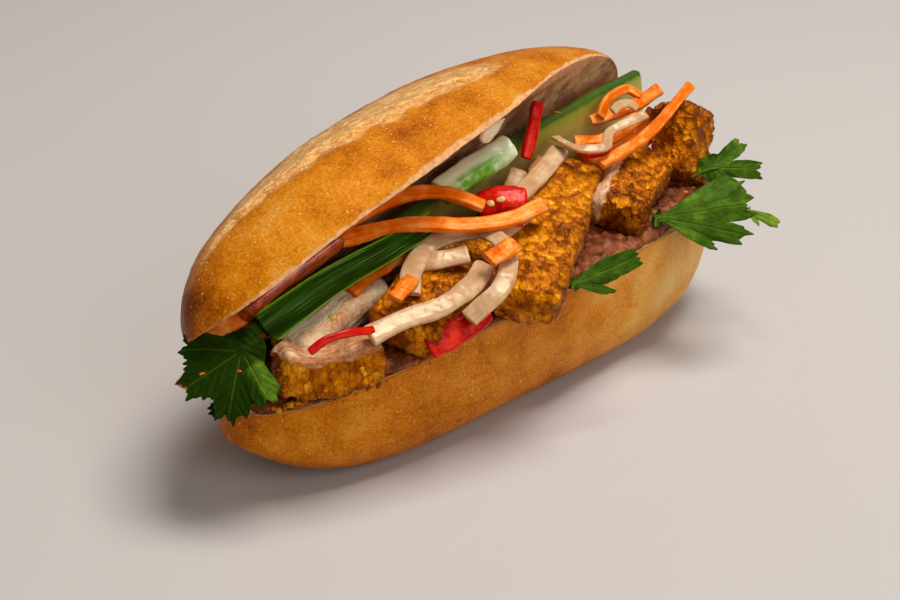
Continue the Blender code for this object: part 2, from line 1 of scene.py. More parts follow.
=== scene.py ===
import math
import bpy
import numpy as np
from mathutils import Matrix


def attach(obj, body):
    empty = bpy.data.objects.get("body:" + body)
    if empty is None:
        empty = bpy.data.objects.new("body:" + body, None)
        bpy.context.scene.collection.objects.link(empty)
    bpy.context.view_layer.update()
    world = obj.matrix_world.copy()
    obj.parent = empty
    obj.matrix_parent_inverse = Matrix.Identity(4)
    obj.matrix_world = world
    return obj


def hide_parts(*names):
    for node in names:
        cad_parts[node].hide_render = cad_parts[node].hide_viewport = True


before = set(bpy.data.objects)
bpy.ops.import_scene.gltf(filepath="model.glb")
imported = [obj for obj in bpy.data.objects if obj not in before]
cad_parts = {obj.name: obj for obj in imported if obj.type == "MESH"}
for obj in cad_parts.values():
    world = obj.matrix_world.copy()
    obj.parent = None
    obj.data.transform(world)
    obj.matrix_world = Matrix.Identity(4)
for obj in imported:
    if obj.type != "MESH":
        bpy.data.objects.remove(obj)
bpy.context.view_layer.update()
mm = 0.001

# Camera: long lens, looking down at the open front from its left end.
camera = dict(lens=70, azimuth=-41.33, elevation=30.23, distance=0.6056, target=(-0.0121, 0.0035, 0.0327),
              pictureWidth=900, pictureHeight=600, sensor=36)

# Light: one broad soft key high above, a little to the right, a weaker one low in front, and a pale room.
light = dict(keyPower=16.5, keySize=0.6, keyAt=(0.30, -0.12, 1.30), fillPower=7.5, fillSize=1.0,
             fillAt=(-0.10, -1.3, 0.8), aim=(0, 0, 0.04), room="#F0EAE6", roomStrength=0.19)


def linear(hexColour):
    # sRGB hex to linear light, with full cover
    parts = [int(hexColour[i:i + 2], 16) / 255 for i in (1, 3, 5)]
    return (*[p / 12.92 if p <= 0.04045 else ((p + 0.055) / 1.055) ** 2.4 for p in parts], 1.0)


def addNode(tree, kind, props=None, inputs=None):
    # one shader node with its settings; an input takes a value, a hex colour or another node's socket
    made = tree.nodes.new(kind)
    for key, value in (props or {}).items():
        if key == "stops":
            while len(made.color_ramp.elements) < len(value):
                made.color_ramp.elements.new(0.5)
            for element, (place, colour) in zip(made.color_ramp.elements, value):
                element.position = place
                element.color = linear(colour)
        else:
            setattr(made, key, value)
    for key, value in (inputs or {}).items():
        if isinstance(value, bpy.types.NodeSocket):
            tree.links.new(value, made.inputs[key])
        else:
            made.inputs[key].default_value = linear(value) if isinstance(value, str) else value
    return made


def startMaterial(name, soft=None, **settings):
    # an empty material with its shader and the object's own coordinates; settings go on the shader's sockets
    # soft gives the share of light that passes under the skin, how far each colour goes there, and the scale in mm
    material = bpy.data.materials.new(name)
    material.use_nodes = True
    tree = material.node_tree
    shader = tree.nodes["Principled BSDF"]
    if soft:
        weight, radius, scale = soft
        settings.update(Subsurface_Weight=weight, Subsurface_Radius=radius, Subsurface_Scale=scale * mm)
    for key, value in settings.items():
        socket = shader.inputs[key.replace("_", " ")]
        socket.default_value = linear(value) if isinstance(value, str) else value
    return material, tree, shader, addNode(tree, "ShaderNodeTexCoord").outputs["Object"]


def mixColours(tree, factor, first, second):
    return addNode(tree, "ShaderNodeMix", {"data_type": "RGBA"}, {0: factor, 6: first, 7: second}).outputs[2]


def attribute(tree, name):
    return addNode(tree, "ShaderNodeAttribute", {"attribute_name": name}).outputs["Fac"]


def noiseOf(tree, place, sizeMm, detail=3.0, stretch=None, rough=0.55):
    # noise with lumps of about sizeMm; stretch makes them longer along an axis
    if stretch:
        place = addNode(tree, "ShaderNodeMapping", None, {"Vector": place, "Scale": stretch}).outputs[0]
    return addNode(tree, "ShaderNodeTexNoise", None,
                   {"Vector": place, "Scale": 1 / (sizeMm * mm), "Detail": detail, "Roughness": rough}).outputs[0]


def maths(tree, operation, *values):
    return addNode(tree, "ShaderNodeMath", {"operation": operation}, dict(enumerate(values))).outputs[0]


def swing(tree, value, weight, base):
    # base plus weight times how far the value stands from one half
    return maths(tree, "MULTIPLY_ADD", maths(tree, "SUBTRACT", value, 0.5), weight, base)


def ramp(tree, value, *stops):
    return addNode(tree, "ShaderNodeValToRGB", {"stops": stops}, {"Fac": value}).outputs[0]


def rangeOf(tree, value, low, high, toLow=0.0, toHigh=1.0):
    return addNode(tree, "ShaderNodeMapRange", None,
                   {0: value, 1: low, 2: high, 3: toLow, 4: toHigh}).outputs[0]


def feed(tree, shader, look, socket="Base Color"):
    tree.links.new(look, shader.inputs[socket])


def bump(tree, shader, height, depthMm, strength=1.0, under=None):
    inputs = {"Height": height, "Strength": strength, "Distance": depthMm * mm}
    if under is not None:
        inputs["Normal"] = under
    made = addNode(tree, "ShaderNodeBump", None, inputs).outputs[0]
    feed(tree, shader, made, "Normal")
    return made


def latticeValue(i, j, k, seed):
    # a fixed random value from 0 to 1 at each whole-number corner
    n = (i * 73856093 ^ j * 19349663 ^ k * 83492791 ^ (seed + 1) * 2654435761) & 0xffffffff
    n = ((n ^ (n >> 15)) * 1274126177) & 0xffffffff
    n = ((n ^ (n >> 13)) * 1103515245) & 0xffffffff
    return ((n ^ (n >> 16)) & 0xffff) / 65535.0


def softNoise(points, size, seed=0):
    # smooth noise, -1 to 1: corner values blended by a smooth step in each direction
    place = points / size
    corner = np.floor(place).astype(np.int64)
    f = place - corner
    f = f * f * (3 - 2 * f)
    total = 0
    for n in range(8):
        d = np.array([n & 1, n >> 1 & 1, n >> 2 & 1])
        share = np.prod(np.where(d, f, 1 - f), axis=-1)
        c = corner + d
        total = total + share * latticeValue(c[..., 0], c[..., 1], c[..., 2], seed)
    return total * 2 - 1


def layeredNoise(points, size, layers=3, seed=0):
    # soft noise at halving sizes, each layer half as strong
    total = 0
    for n in range(layers):
        total = total + softNoise(points, size / 2 ** n, seed + n * 17) / 2 ** n
    return total / (2 - 2 / 2 ** layers)


def grains(points, size, seed=0):
    # distance to the nearest of the scattered seeds, one a cell, and that seed's own value
    place = points / size
    corner = np.floor(place).astype(np.int64)
    near = np.full(points.shape[:-1], 9.0)
    own = np.zeros(points.shape[:-1])
    for n in range(27):
        c = corner + np.array([n % 3 - 1, n // 3 % 3 - 1, n // 9 - 1])
        jitter = np.stack([latticeValue(c[..., 0], c[..., 1], c[..., 2], seed + a * 31) for a in range(3)], -1)
        gap = np.linalg.norm(c + jitter - place, axis=-1)
        value = latticeValue(c[..., 0], c[..., 1], c[..., 2], seed + 101)
        closer = gap < near
        own = np.where(closer, value, own)
        near = np.where(closer, gap, near)
    return near, own


def smoothStep(low, high, value):
    t = np.clip((value - low) / (high - low), 0, 1)
    return t * t * (3 - 2 * t)


def unit(v):
    return v / np.maximum(np.linalg.norm(v, axis=-1, keepdims=True), 1e-12)


def squareTo(way, along):
    # the unit direction of the part of way that stands square to along
    return unit(way - (way * along).sum(-1, keepdims=True) * along)


def pointsAt(wanted, known, points):
    # points between the known ones, coordinate by coordinate
    return np.stack([np.interp(wanted, known, points[:, i]) for i in range(3)], -1)


def walkedLengths(steps):
    # the way walked from the start up to the end of each step
    return np.concatenate([[0], np.cumsum(steps)])


def resized(rings, share):
    # each ring made share times as large about its own middle
    centre = rings.mean(1, keepdims=True)
    return centre + (rings - centre) * share[..., None]


def ringNormals(rings):
    # outward normals of a stack of closed rings, from the steps round and along it
    around = np.roll(rings, -1, axis=1) - np.roll(rings, 1, axis=1)
    along = np.gradient(rings, axis=0)
    return unit(np.cross(around, along))


def roughen(rings, sizeMm, seed, depthMm, stretch=1):
    # lumps of about sizeMm that stand depthMm out from the surface
    lumps = layeredNoise(rings * stretch, sizeMm * mm, 2, seed) * depthMm * mm
    return rings + ringNormals(rings) * lumps[..., None]


def ringFaces(rows, columns):
    # four-cornered faces between neighbouring rings
    i, j = np.meshgrid(np.arange(rows - 1), np.arange(columns), indexing="ij")
    k = (j + 1) % columns
    quads = np.stack([i * columns + j, i * columns + k, (i + 1) * columns + k, (i + 1) * columns + j], -1)
    return quads.reshape(-1, 4)


def endFans(rows, columns):
    # triangles from the first and the last ring to the two middle points that come after all rings
    j = np.arange(columns)
    k = (j + 1) % columns
    first = np.stack([k, j, np.full(columns, rows * columns)], -1)
    last = np.stack([(rows - 1) * columns + j, (rows - 1) * columns + k, np.full(columns, rows * columns + 1)], -1)
    return np.vstack([first, last])


def fillMesh(mesh, points, quads, triangles):
    # corner places and faces put straight into the mesh
    corners = np.concatenate([quads.ravel(), triangles.ravel()]).astype(np.int32)
    sizes = np.concatenate([np.full(len(quads), 4), np.full(len(triangles), 3)])
    mesh.vertices.add(len(points))
    mesh.vertices.foreach_set("co", np.ascontiguousarray(points, np.float32).ravel())
    mesh.loops.add(len(corners))
    mesh.loops.foreach_set("vertex_index", corners)
    mesh.polygons.add(len(sizes))
    mesh.polygons.foreach_set("loop_start", (np.cumsum(sizes) - sizes).astype(np.int32))
    mesh.polygons.foreach_set("use_smooth", np.ones(len(sizes), bool))
    mesh.update(calc_edges=True)


def setValues(mesh, name, values):
    # one number a corner, for the material to read
    layer = mesh.attributes.new(name, "FLOAT", "POINT")
    layer.data.foreach_set("value", np.ascontiguousarray(values, np.float32).ravel())


def addObject(name, data):
    made = bpy.data.objects.new(name, data)
    bpy.context.scene.collection.objects.link(made)
    return made


def addPiece(name, points, quads, triangles, material, stands=(), values=None):
    mesh = bpy.data.meshes.new(name)
    fillMesh(mesh, points, quads, triangles)
    for key, numbers in (values or {}).items():
        setValues(mesh, key, numbers)
    mesh.materials.append(material)
    piece = addObject(name, mesh)
    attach(piece, "root")
    if stands:
        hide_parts(*stands)
    return piece


def addRings(name, rings, material, stands=(), values=None):
    # a closed piece from a stack of rings, each end shut by a fan to its middle
    rows, columns = rings.shape[:2]
    points = np.vstack([rings.reshape(-1, 3), rings[0].mean(0)[None], rings[-1].mean(0)[None]])
    full = {key: np.concatenate([v.ravel(), [v[0].mean(), v[-1].mean()]]) for key, v in (values or {}).items()}
    return addPiece(name, points, ringFaces(rows, columns), endFans(rows, columns), material, stands, full)


def curveThrough(points, count):
    # smooth curve through points in mm (Catmull-Rom), evenly stepped
    points = np.array(points, float) * mm
    padded = np.vstack([2 * points[0] - points[1], points, 2 * points[-1] - points[-2]])
    spans = len(points) - 1
    place = np.linspace(0, spans, 60 * spans + 1)
    k = np.minimum(place.astype(int), spans - 1)
    t = (place - k)[:, None]
    a, b, c, d = padded[k], padded[k + 1], padded[k + 2], padded[k + 3]
    fine = 0.5 * (2 * b + (c - a) * t + (2 * a - 5 * b + 4 * c - d) * t ** 2 + (3 * b - a - 3 * c + d) * t ** 3)
    walked = walkedLengths(np.linalg.norm(np.diff(fine, axis=0), axis=1))
    even = np.linspace(0, walked[-1], count)
    return pointsAt(even, walked, fine), walked[-1]


def evenSection(columns, width, thick, square):
    # points of a rounded box, both halves -1 to 1, at even steps round its edge
    turn = np.linspace(0, 2 * math.pi, 4001)
    a = np.sign(np.cos(turn)) * np.abs(np.cos(turn)) ** (2 / square)
    b = np.sign(np.sin(turn)) * np.abs(np.sin(turn)) ** (2 / square)
    walked = walkedLengths(np.hypot(np.diff(a * width), np.diff(b * thick)))
    even = (np.arange(columns) + 0.5) / columns * walked[-1]
    return np.interp(even, walked, a), np.interp(even, walked, b)


def sweep(spec, rows, columns, endRound, square=4.0, endSquare=2.5, capRows=8):
    # a rounded box section carried along a path; towards each end the section shrinks to a point over endRound
    # gives the rings, each ring's share of the length, the section's own two coordinates and its size there
    path, length = curveThrough(spec["path"], 400)
    endRound = min(endRound, length / 2.2)
    a = np.linspace(0.12, math.pi / 2, capRows, endpoint=False)
    capPlace = endRound * (1 - np.cos(a) ** (2 / endSquare))
    capSize = np.sin(a) ** (2 / endSquare)
    middle = np.linspace(endRound, length - endRound, rows)
    place = np.concatenate([capPlace, middle, length - capPlace[::-1]]) / length
    size = np.concatenate([capSize, np.ones(rows), capSize[::-1]])
    t = np.linspace(0, 1, 400)
    centre = pointsAt(place, t, path)
    along = unit(pointsAt(place, t, unit(np.gradient(path, axis=0))))
    start = np.array(spec["face"], float)
    end = np.array(spec.get("faceEnd", spec["face"]), float)
    look = start + (end - start) * place[:, None]
    look = squareTo(look, along)
    side = np.cross(along, look)
    a, b = evenSection(columns, spec["width"], spec["thick"], square)
    across = np.broadcast_to(a[None] * size[:, None], (len(place), columns))
    deep = np.broadcast_to(b[None] * size[:, None], (len(place), columns))
    rings = centre[:, None] + across[..., None] * side[:, None] * spec["width"] / 2 * mm
    rings = rings + deep[..., None] * look[:, None] * spec["thick"] / 2 * mm
    lengthwise = np.broadcast_to(place[:, None], across.shape)
    return rings, lengthwise, across, deep, size


def sectionPlaces(spec, across, deep, along):
    # places in the strip's own section in mm, for noise that changes across it and little along it
    return np.stack([across * spec["width"] / 2, deep * spec["thick"] / 2, along], -1)


def strips(kind, rows):
    # numbered strips: each row is a path in mm, the width, the thickness and the way the broad side looks
    return {kind + "_%d" % n: dict(path=path, width=width, thick=thick, face=face)
            for n, (path, width, thick, face) in enumerate(rows, 1)}


# Bread: wheat crust, proved, scored along the top and baked. A thin brittle skin, golden where the heat reached it
# and cream underneath, with fine blisters and a satin gloss. Inside it is a soft dry crumb.
breadLook = dict(cream="#E8BC6C", pale="#E2A040", golden="#D27C0C", brown="#A65204", dark="#5A2402",
                 flake="#F0CC8A", crumb="#F2C08C", crumbShade="#D29C6E", stain="#7A3A14", gloss="#FFA028")


def crustMaterial():
    material, tree, shader, place = startMaterial("bakedWheatCrust", Specular_IOR_Level=0.34,
                                                  Specular_Tint=breadLook["gloss"])
    mottle = noiseOf(tree, place, 11, 5, rough=0.6)
    fine = noiseOf(tree, place, 1.1, 4, rough=0.7)
    grain = noiseOf(tree, place, 0.6, 2, stretch=(0.6, 1, 1))
    # the crust's tone follows how far it baked and, on the base, painted shade that darkens it towards the bottom
    shade = swing(tree, mottle, 0.75, attribute(tree, "bake"))
    shade = swing(tree, fine, 0.55, shade)
    shade = swing(tree, grain, 0.5, shade)
    look = ramp(tree, shade, (0.0, breadLook["cream"]), (0.25, breadLook["pale"]), (0.5, breadLook["golden"]),
                (0.75, breadLook["brown"]), (1.0, breadLook["dark"]))
    # tiny pale blisters of different sizes, up to 0.4 mm
    blister = addNode(tree, "ShaderNodeTexVoronoi", {"feature": "F1"}, {"Vector": place, "Scale": 1 / (1.6 * mm)})
    size = maths(tree, "MULTIPLY", blister.outputs["Color"], 0.26)
    spot = maths(tree, "GREATER_THAN", size, blister.outputs["Distance"])
    some = rangeOf(tree, noiseOf(tree, place, 7, 2), 0.38, 0.58, 0.0, 0.7)
    look = mixColours(tree, maths(tree, "MULTIPLY", spot, some), look, breadLook["flake"])
    # torn flaky streaks in the score, longer along the roll
    streak = noiseOf(tree, place, 0.9, 5, stretch=(0.18, 1, 1), rough=0.75)
    torn = maths(tree, "MULTIPLY", attribute(tree, "score"), rangeOf(tree, streak, 0.40, 0.60, 0.1, 0.95))
    look = mixColours(tree, torn, look, breadLook["flake"])
    crumb = mixColours(tree, rangeOf(tree, noiseOf(tree, place, 1.8, 5), 0.38, 0.62), breadLook["crumbShade"],
                       breadLook["crumb"])
    crumb = mixColours(tree, attribute(tree, "stain"), crumb, breadLook["stain"])
    look = mixColours(tree, attribute(tree, "crumb"), look, crumb)
    feed(tree, shader, look)
    rough = maths(tree, "MULTIPLY_ADD", attribute(tree, "crumb"), 0.40, rangeOf(tree, mottle, 0.3, 0.7, 0.34, 0.52))
    feed(tree, shader, rough, "Roughness")
    coarse = bump(tree, shader, noiseOf(tree, place, 2.6, 5, rough=0.6), 0.8, 0.5)
    bump(tree, shader, maths(tree, "MULTIPLY_ADD", spot, 0.4, fine), 0.4, 0.7, coarse)
    return material


# The roll: the same two halves as the CAD solid, in fine steps, with dents, blisters and a torn score on the lid.
roll = dict(rows=232, arc=162, face=42, halfLength=110, halfWidth=33.4, cutHeight=45.6, cutRise=6.0, cutSag=7.1,
            baseEnds=(2.8, 3.1), sideRound=0.64, bellyRound=0.38, bellyFlat=1.03, keelLift=0.65, keelPower=6,
            lidShift=-9.0, lidHalfLength=107.0, lidHalfWidth=36.4, lidDepth=40.6, lidDish=9.0, lidEnds=(2.2, 1.77),
            lidSlant=7.0, lipRaise=(3.5, -0.62, 0.30), lipDrop=(1.8, 0.22, 0.22), openings=(39.9, 58.1, 86.6),
            hinge=(33.1, 34.1), hingeDrift=0.8, dents=0.6, dentSize=26, pebble=0.22, pebbleSize=3.2,
            scoreFrom=-0.95, scoreTo=0.42, scoreLedge=0.9, scoreDepth=1.1, scoreWide=26, scorePath=(34, -21, 26),
            crumbDepth=0.55, crumbSize=3.4, lipBand=2.6)


def endFall(u, ends):
    # 1 in the middle and 0 at both ends, blunter where the power is high
    return np.sqrt(np.clip(1 - np.abs(u) ** np.where(u < 0, *ends), 0, 1))


def stations(count, skip=0.02):
    # places from -1 to 1, closer together towards the ends
    return np.sin(np.linspace(-math.pi / 2 + skip, math.pi / 2 - skip, count))


def cutHeight(x):
    u = x / (roll["halfLength"] * mm)
    return (roll["cutHeight"] + roll["cutRise"] * u - roll["cutSag"] * u * u) * mm


def baseHalfWidth(x):
    return roll["halfWidth"] * mm * endFall(x / (roll["halfLength"] * mm), roll["baseEnds"])


def evenTurns(count, sidePower, risePower, width, height):
    # half a turn whose points lie at even steps along the curve cos^sidePower * width, sin^risePower * height
    turn = math.pi * (1 - np.cos(np.linspace(0, math.pi, 6001))) / 2
    side = np.sign(np.cos(turn)) * np.abs(np.cos(turn)) ** sidePower * width
    rise = np.clip(np.sin(turn), 0, 1) ** risePower * height
    walked = walkedLengths(np.hypot(np.diff(side), np.diff(rise)))
    t = np.linspace(0, 1, count)
    return np.interp((t - 0.07 * np.sin(2 * math.pi * t)) * walked[-1], walked, turn)


def baseRings():
    # width and height of a rounded box at each station, cut flat on top
    u = stations(roll["rows"])
    x = u * roll["halfLength"] * mm
    width = baseHalfWidth(x)[:, None]
    top = cutHeight(x)[:, None]
    keel = top * roll["keelLift"] * np.abs(u[:, None]) ** roll["keelPower"]
    turn = evenTurns(roll["arc"], roll["sideRound"], roll["bellyRound"], roll["halfWidth"], roll["cutHeight"])[None]
    side = np.cos(turn)
    y = -width * np.sign(side) * np.abs(side) ** roll["sideRound"]
    z = top - (top - keel) * roll["bellyFlat"] * np.clip(np.sin(turn), 0, 1) ** roll["bellyRound"]
    across = np.linspace(1, -1, roll["face"] + 2)[None, 1:-1]
    y = np.hstack([y, width * across])
    z = np.hstack([np.maximum(z, 0), top + 0 * across])
    rings = np.stack([np.repeat(x[:, None], y.shape[1], 1), y, z], -1)
    crumb = np.zeros(z.shape)
    crumb[:, roll["arc"]:] = 1
    return rings, crumb, np.broadcast_to(u[:, None], z.shape), np.hstack([turn + 0 * width, 0 * across + 0 * width])


def lidRings():
    # a half dome on a plane that turns about the hinge, wider open to the right, with a dished cut face
    # its right end leans along the roll, so that it comes to a point at the lip
    u = stations(roll["rows"])
    left, centre, right = roll["openings"]
    opening = np.radians(left * u * (u - 1) / 2 + right * u * (u + 1) / 2 + centre * (1 - u * u))
    lip = np.stack([0 * u, -np.cos(opening), np.sin(opening)], -1)
    out = np.stack([0 * u, np.sin(opening), np.cos(opening)], -1)
    drift = roll["hingeDrift"] * (u + 1)
    hinge = np.stack([roll["lidShift"] + u * roll["lidHalfLength"], roll["hinge"][0] + drift,
                      roll["hinge"][1] + drift], -1)
    middle = hinge + roll["lidHalfWidth"] * lip
    fall = endFall(u, roll["lidEnds"])[:, None]
    turn = evenTurns(roll["arc"], 1, 1, roll["lidHalfWidth"], roll["lidDepth"])[None]
    across = np.linspace(-1, 1, roll["face"] + 2)[None, 1:-1]
    side = np.hstack([fall * np.cos(turn), fall * across]) * roll["lidHalfWidth"]
    rise = np.hstack([fall * np.clip(np.sin(turn), 0, 1) * roll["lidDepth"],
                      fall * (1 - across ** 2) * roll["lidDish"]])
    # the knife left the lip higher to the left and a little lower right of the middle
    (raised, raisedAt, raisedSpan), (dropped, droppedAt, droppedSpan) = roll["lipRaise"], roll["lipDrop"]
    lipLift = raised * np.exp(-((u - raisedAt) / raisedSpan) ** 2)
    lipLift = lipLift - dropped * np.exp(-((u - droppedAt) / droppedSpan) ** 2)
    rise = rise + lipLift[:, None] * fall * np.clip(side / roll["lidHalfWidth"], 0, 1) ** 2
    rings = middle[:, None] + side[..., None] * lip[:, None] + rise[..., None] * out[:, None]
    rings[..., 0] += roll["lidSlant"] * np.clip(u, 0, 1)[:, None] ** 2 * side / roll["lidHalfWidth"]
    # the knife left a ragged band of crumb along the lip, wider to the left
    band = roll["lipBand"] * (1 - 0.15 * u[:, None]) * (1 + 0.45 * softNoise(rings * [1, 0, 0], 6, 51)
                                                       + 0.25 * softNoise(rings * [1, 0, 0], 1.6, 52))
    turned = np.hstack([turn + 0 * fall, 0 * across + 0 * fall])
    degrees = np.degrees(turned)
    crumb = (1 - smoothStep(band - 0.5, band + 0.5, degrees)) * np.where(degrees > 0, 0.7, 1)
    return rings * mm, crumb, np.broadcast_to(u[:, None], side.shape), turned, side / roll["lidHalfWidth"]


def ruffle(rings, crumb, lift):
    # moves the skin along its normal by lift in mm; the crumb side gets open pores instead
    normals = ringNormals(rings)
    pores = layeredNoise(rings, roll["crumbSize"] * mm, 3, 5)
    height = lift + (np.minimum(pores, 0.15) * roll["crumbDepth"] - lift) * crumb
    return rings + normals * (height * mm)[..., None]


def skinLumps(rings, seed):
    # broad dents and small pebbles of the skin, in mm
    dents = layeredNoise(rings, roll["dentSize"] * mm, 2, seed + 3) * roll["dents"]
    return dents, layeredNoise(rings, roll["pebbleSize"] * mm, 3, seed + 8) * roll["pebble"]


def makeRoll():
    rings, crumb, u, turn = baseRings()
    dents, pebbles = skinLumps(rings, 0)
    onFloor = smoothStep(1.0 * mm, 5.0 * mm, rings[..., 2])
    lift = (dents - abs(roll["dents"]) * 0.6 + pebbles) * onFloor
    height = rings[..., 2] / cutHeight(rings[..., 0])
    # browner towards the lip and the left end and paler towards the right; darker towards the bottom, which is
    # painted shade on the belly
    bake = 0.50 + 0.10 * smoothStep(0.35, 1.0, height) + 0.04 * np.clip(-u, 0, 1)
    bake = bake - 0.34 * smoothStep(-0.05, 0.65, u)
    # broad random patches of tone, and painted shade darkening the lower sides
    bake = bake + 0.14 * layeredNoise(rings, 24 * mm, 2, 12) + 0.16 * smoothStep(0.55, 0.10, height)
    stain = crumb * (0.55 + 0.45 * smoothStep(-0.2, 0.5, layeredNoise(rings, 5 * mm, 2, 14)))
    base = addRings("base", ruffle(rings, crumb, lift), crust, (),
                    {"bake": bake, "crumb": crumb, "score": 0 * bake, "stain": stain})

    rings, crumb, u, turn, across = lidRings()
    dents, pebbles = skinLumps(rings, 20)
    # the score runs up from the left end over the top; its front edge stands up and its floor is torn
    wander = 2.0 * softNoise(rings * [1, 0, 0], 9 * mm, 2) + 1.2 * softNoise(rings * [1, 0, 0], 3 * mm, 4)
    start, slope, bend = roll["scorePath"]
    off = np.degrees(turn) - (start + slope * u + bend * u * u) - wander
    share = np.clip((u - roll["scoreFrom"]) / (roll["scoreTo"] - roll["scoreFrom"]), 0, 1)
    spread = roll["scoreWide"] * np.sin(math.pi * share) ** 0.7 + 0.1
    inside = smoothStep(0.0, 0.12, share * (1 - share))
    floor = smoothStep(0, 1.5, off) * smoothStep(spread + 5, spread - 5, off) * inside
    ledge = np.exp(-((off + 1.5) / 2.2) ** 2) * inside
    torn = layeredNoise(rings * [0.3, 1, 1], 2.6 * mm, 3, 33)
    lift = dents - roll["dents"] * 0.5 + pebbles + roll["scoreLedge"] * ledge * (0.6 + 0.4 * torn)
    lift = lift - floor * (roll["scoreDepth"] * np.clip(1 - off / spread, 0, 1) - 0.8 * torn)
    bake = 0.50 + 0.10 * layeredNoise(rings, 22 * mm, 3, 41) + 0.10 * smoothStep(0.5, 1.6, turn)
    bake = bake + 0.34 * smoothStep(-0.84, -0.985, u) - 0.04 * smoothStep(0.30, 0.0, turn) * (1 - crumb)
    bake = bake - 0.28 * smoothStep(2.3, 3.0, turn)
    bake = bake + 0.08 * smoothStep(-0.75, -0.3, u) * (1 - crumb)
    # the spread has rubbed off on the crumb, away from the lip
    stain = crumb * smoothStep(-0.5, 0.4, layeredNoise(rings, 6 * mm, 2, 44))
    stain = stain * (0.02 + 0.70 * smoothStep(0.60, 0.44, across))
    score = np.clip(floor * 0.9 + 0.9 * ledge, 0, 1)
    lid = addRings("lid", ruffle(rings, crumb, lift), crust, (),
                   {"bake": bake, "crumb": crumb, "score": score, "stain": stain})

    join = base.modifiers.new("join", "BOOLEAN")
    join.operation, join.solver, join.object = "UNION", "MANIFOLD", lid
    joined = bpy.data.meshes.new_from_object(base.evaluated_get(bpy.context.evaluated_depsgraph_get()))
    base.modifiers.remove(join)
    base.data = joined
    base.name = "breadRoll"
    bpy.data.objects.remove(lid)
    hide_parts("roll")
    return base


crust = crustMaterial()
makeRoll()
print("roll done")


# The spread: liver pate, a smooth fatty paste with coarse flecks, pressed out ragged along the lip.
pateLook = dict(main="#783A1E", light="#A25E38", dark="#30140E", thick=2.3, heap=2.2, heapAt=62, heapSpan=26,
                reach=0.95, front=1.2, back=12, backEdge=9, ragged=0.8, raggedSize=11, nibble=0.5)


def pateMaterial():
    material, tree, shader, place = startMaterial("liverPate", soft=(0.15, (0.6, 0.25, 0.15), 1), Roughness=0.45,
                                                  Specular_Tint="#FFB890")
    look = ramp(tree, noiseOf(tree, place, 3.0, 5), (0.30, pateLook["dark"]), (0.5, pateLook["main"]),
                (0.72, pateLook["light"]))
    feed(tree, shader, look)
    bump(tree, shader, noiseOf(tree, place, 1.2, 4), 0.5, 0.6)
    return material


def makePate():
    # a long low heap on the cut face: its front edge wanders, its thickness swells towards the right
    rows, columns = 300, 28
    x = np.linspace(-pateLook["reach"], pateLook["reach"], rows) * roll["halfLength"] * mm
    line = np.stack([x, 0 * x, 0 * x], -1)
    edge = pateLook["ragged"] * softNoise(line, pateLook["raggedSize"] * mm, 4)
    edge = edge + pateLook["nibble"] * softNoise(line, 3 * mm, 9)
    front = -baseHalfWidth(x) + pateLook["front"] * mm + edge * mm
    back = np.minimum(pateLook["back"] * mm, baseHalfWidth(x) - pateLook["backEdge"] * mm)
    v = np.linspace(0, 1, columns)
    y = front[:, None] + (back - front)[:, None] * (v * v * 0.6 + v * 0.4)
    floor = cutHeight(x)[:, None] + 0.1 * mm + 0 * y
    heap = pateLook["heap"] * np.exp(-((x / mm - pateLook["heapAt"]) / pateLook["heapSpan"]) ** 2)[:, None]
    spots = np.stack([np.repeat(x[:, None], columns, 1), y, 0 * y], -1)
    lumpy = 1 + 0.50 * layeredNoise(spots, 7 * mm, 3, 5) + 0.50 * layeredNoise(spots, 2.4 * mm, 2, 6)
    ends = np.sqrt(np.clip(1 - np.abs(x / x[-1]) ** 12, 0, 1))[:, None]
    thick = (pateLook["thick"] + heap) * mm * np.clip(np.sin(math.pi * v), 0.05, 1)[None] ** 0.35 * lumpy * ends
    top = np.stack([spots[..., 0], y, floor + thick], -1)
    under = np.stack([spots[..., 0], y, floor], -1)[:, ::-1]
    return addRings("pateLayer", np.concatenate([top, under], 1), pateMaterial(), ["pate"])


makePate()
print("pate done")

# Crumbed chicken: strips of thigh in a craggy fried crumb, cut across so that the pale meat shows.
chicken = strips("crumbed_chicken", [
    ([(-98, -13, 48), (-83, -19, 45), (-67, -26, 47.5)], 14, 15, (0.2, 0.1, 1.0)),
    ([(-86, -2, 48), (-66, 1, 49), (-46, 6, 50)], 17, 14, (0.0, -0.35, 1.0)),
    ([(-59, -25, 49.5), (-32, -12, 52), (-4, 2, 53)], 25, 12, (0.1, -0.15, 1.0)),
    ([(-20, -39, 51), (12, -18, 58), (47, 6, 62)], 25, 14, (-0.1, -0.25, 1.0)),
    ([(43, -21, 54), (60, -12, 58), (79, -4, 60)], 20, 14, (0.0, -0.3, 1.0)),
    ([(88, -8, 51), (95, -4, 60), (103, 2, 72)], 23, 18, (0.3, -1.0, 0.4)),
])
# where each strip is cut open: from what height of the section the top is bare, or from how far left its side is
# dish hollows the bare top by so many mm, dip lowers its left end, pale is how white the meat is, calm evens it
# peak raises the bare top at its left end; craggy is how far the coating stands out; the last value makes a whole
# piece's coating lighter or darker, as painted light and shade
chickenCuts = {"crumbed_chicken_1": dict(top=0.40, dish=2.6, peak=2.5, pale=0.0, craggy=1.5, tone=0.06),
               "crumbed_chicken_2": dict(top=-0.1, pale=0.8, calm=0.5, dip=3.5),
               "crumbed_chicken_4": dict(side=0.80, pale=0.1),
               "crumbed_chicken_5": dict(side=0.55, pale=0.2, tone=-0.12), "crumbed_chicken_6": dict(tone=-0.08)}
# in the coating's colours, dark is painted shade in the crevices, and bright and tip are painted highlight on the
# raised crumbs
chickenLook = dict(dark="#4A1C00", brown="#8A4200", golden="#C06C00", bright="#DE9008", tip="#FFCC48",
                   meat="#C88A5A", meatPale="#F2DCB4", meatShade="#86462A", gloss="#FF9424", lump=2.0, lumpSize=12,
                   crag=1.2, cragSize=2.7, crumb=0.42, crumbSize=1.0, warp=0.6, fibre=0.7, endRound=5)


def plainName(name):
    # node_name to nodeName
    words = name.split("_")
    return words[0] + "".join(w.capitalize() for w in words[1:])


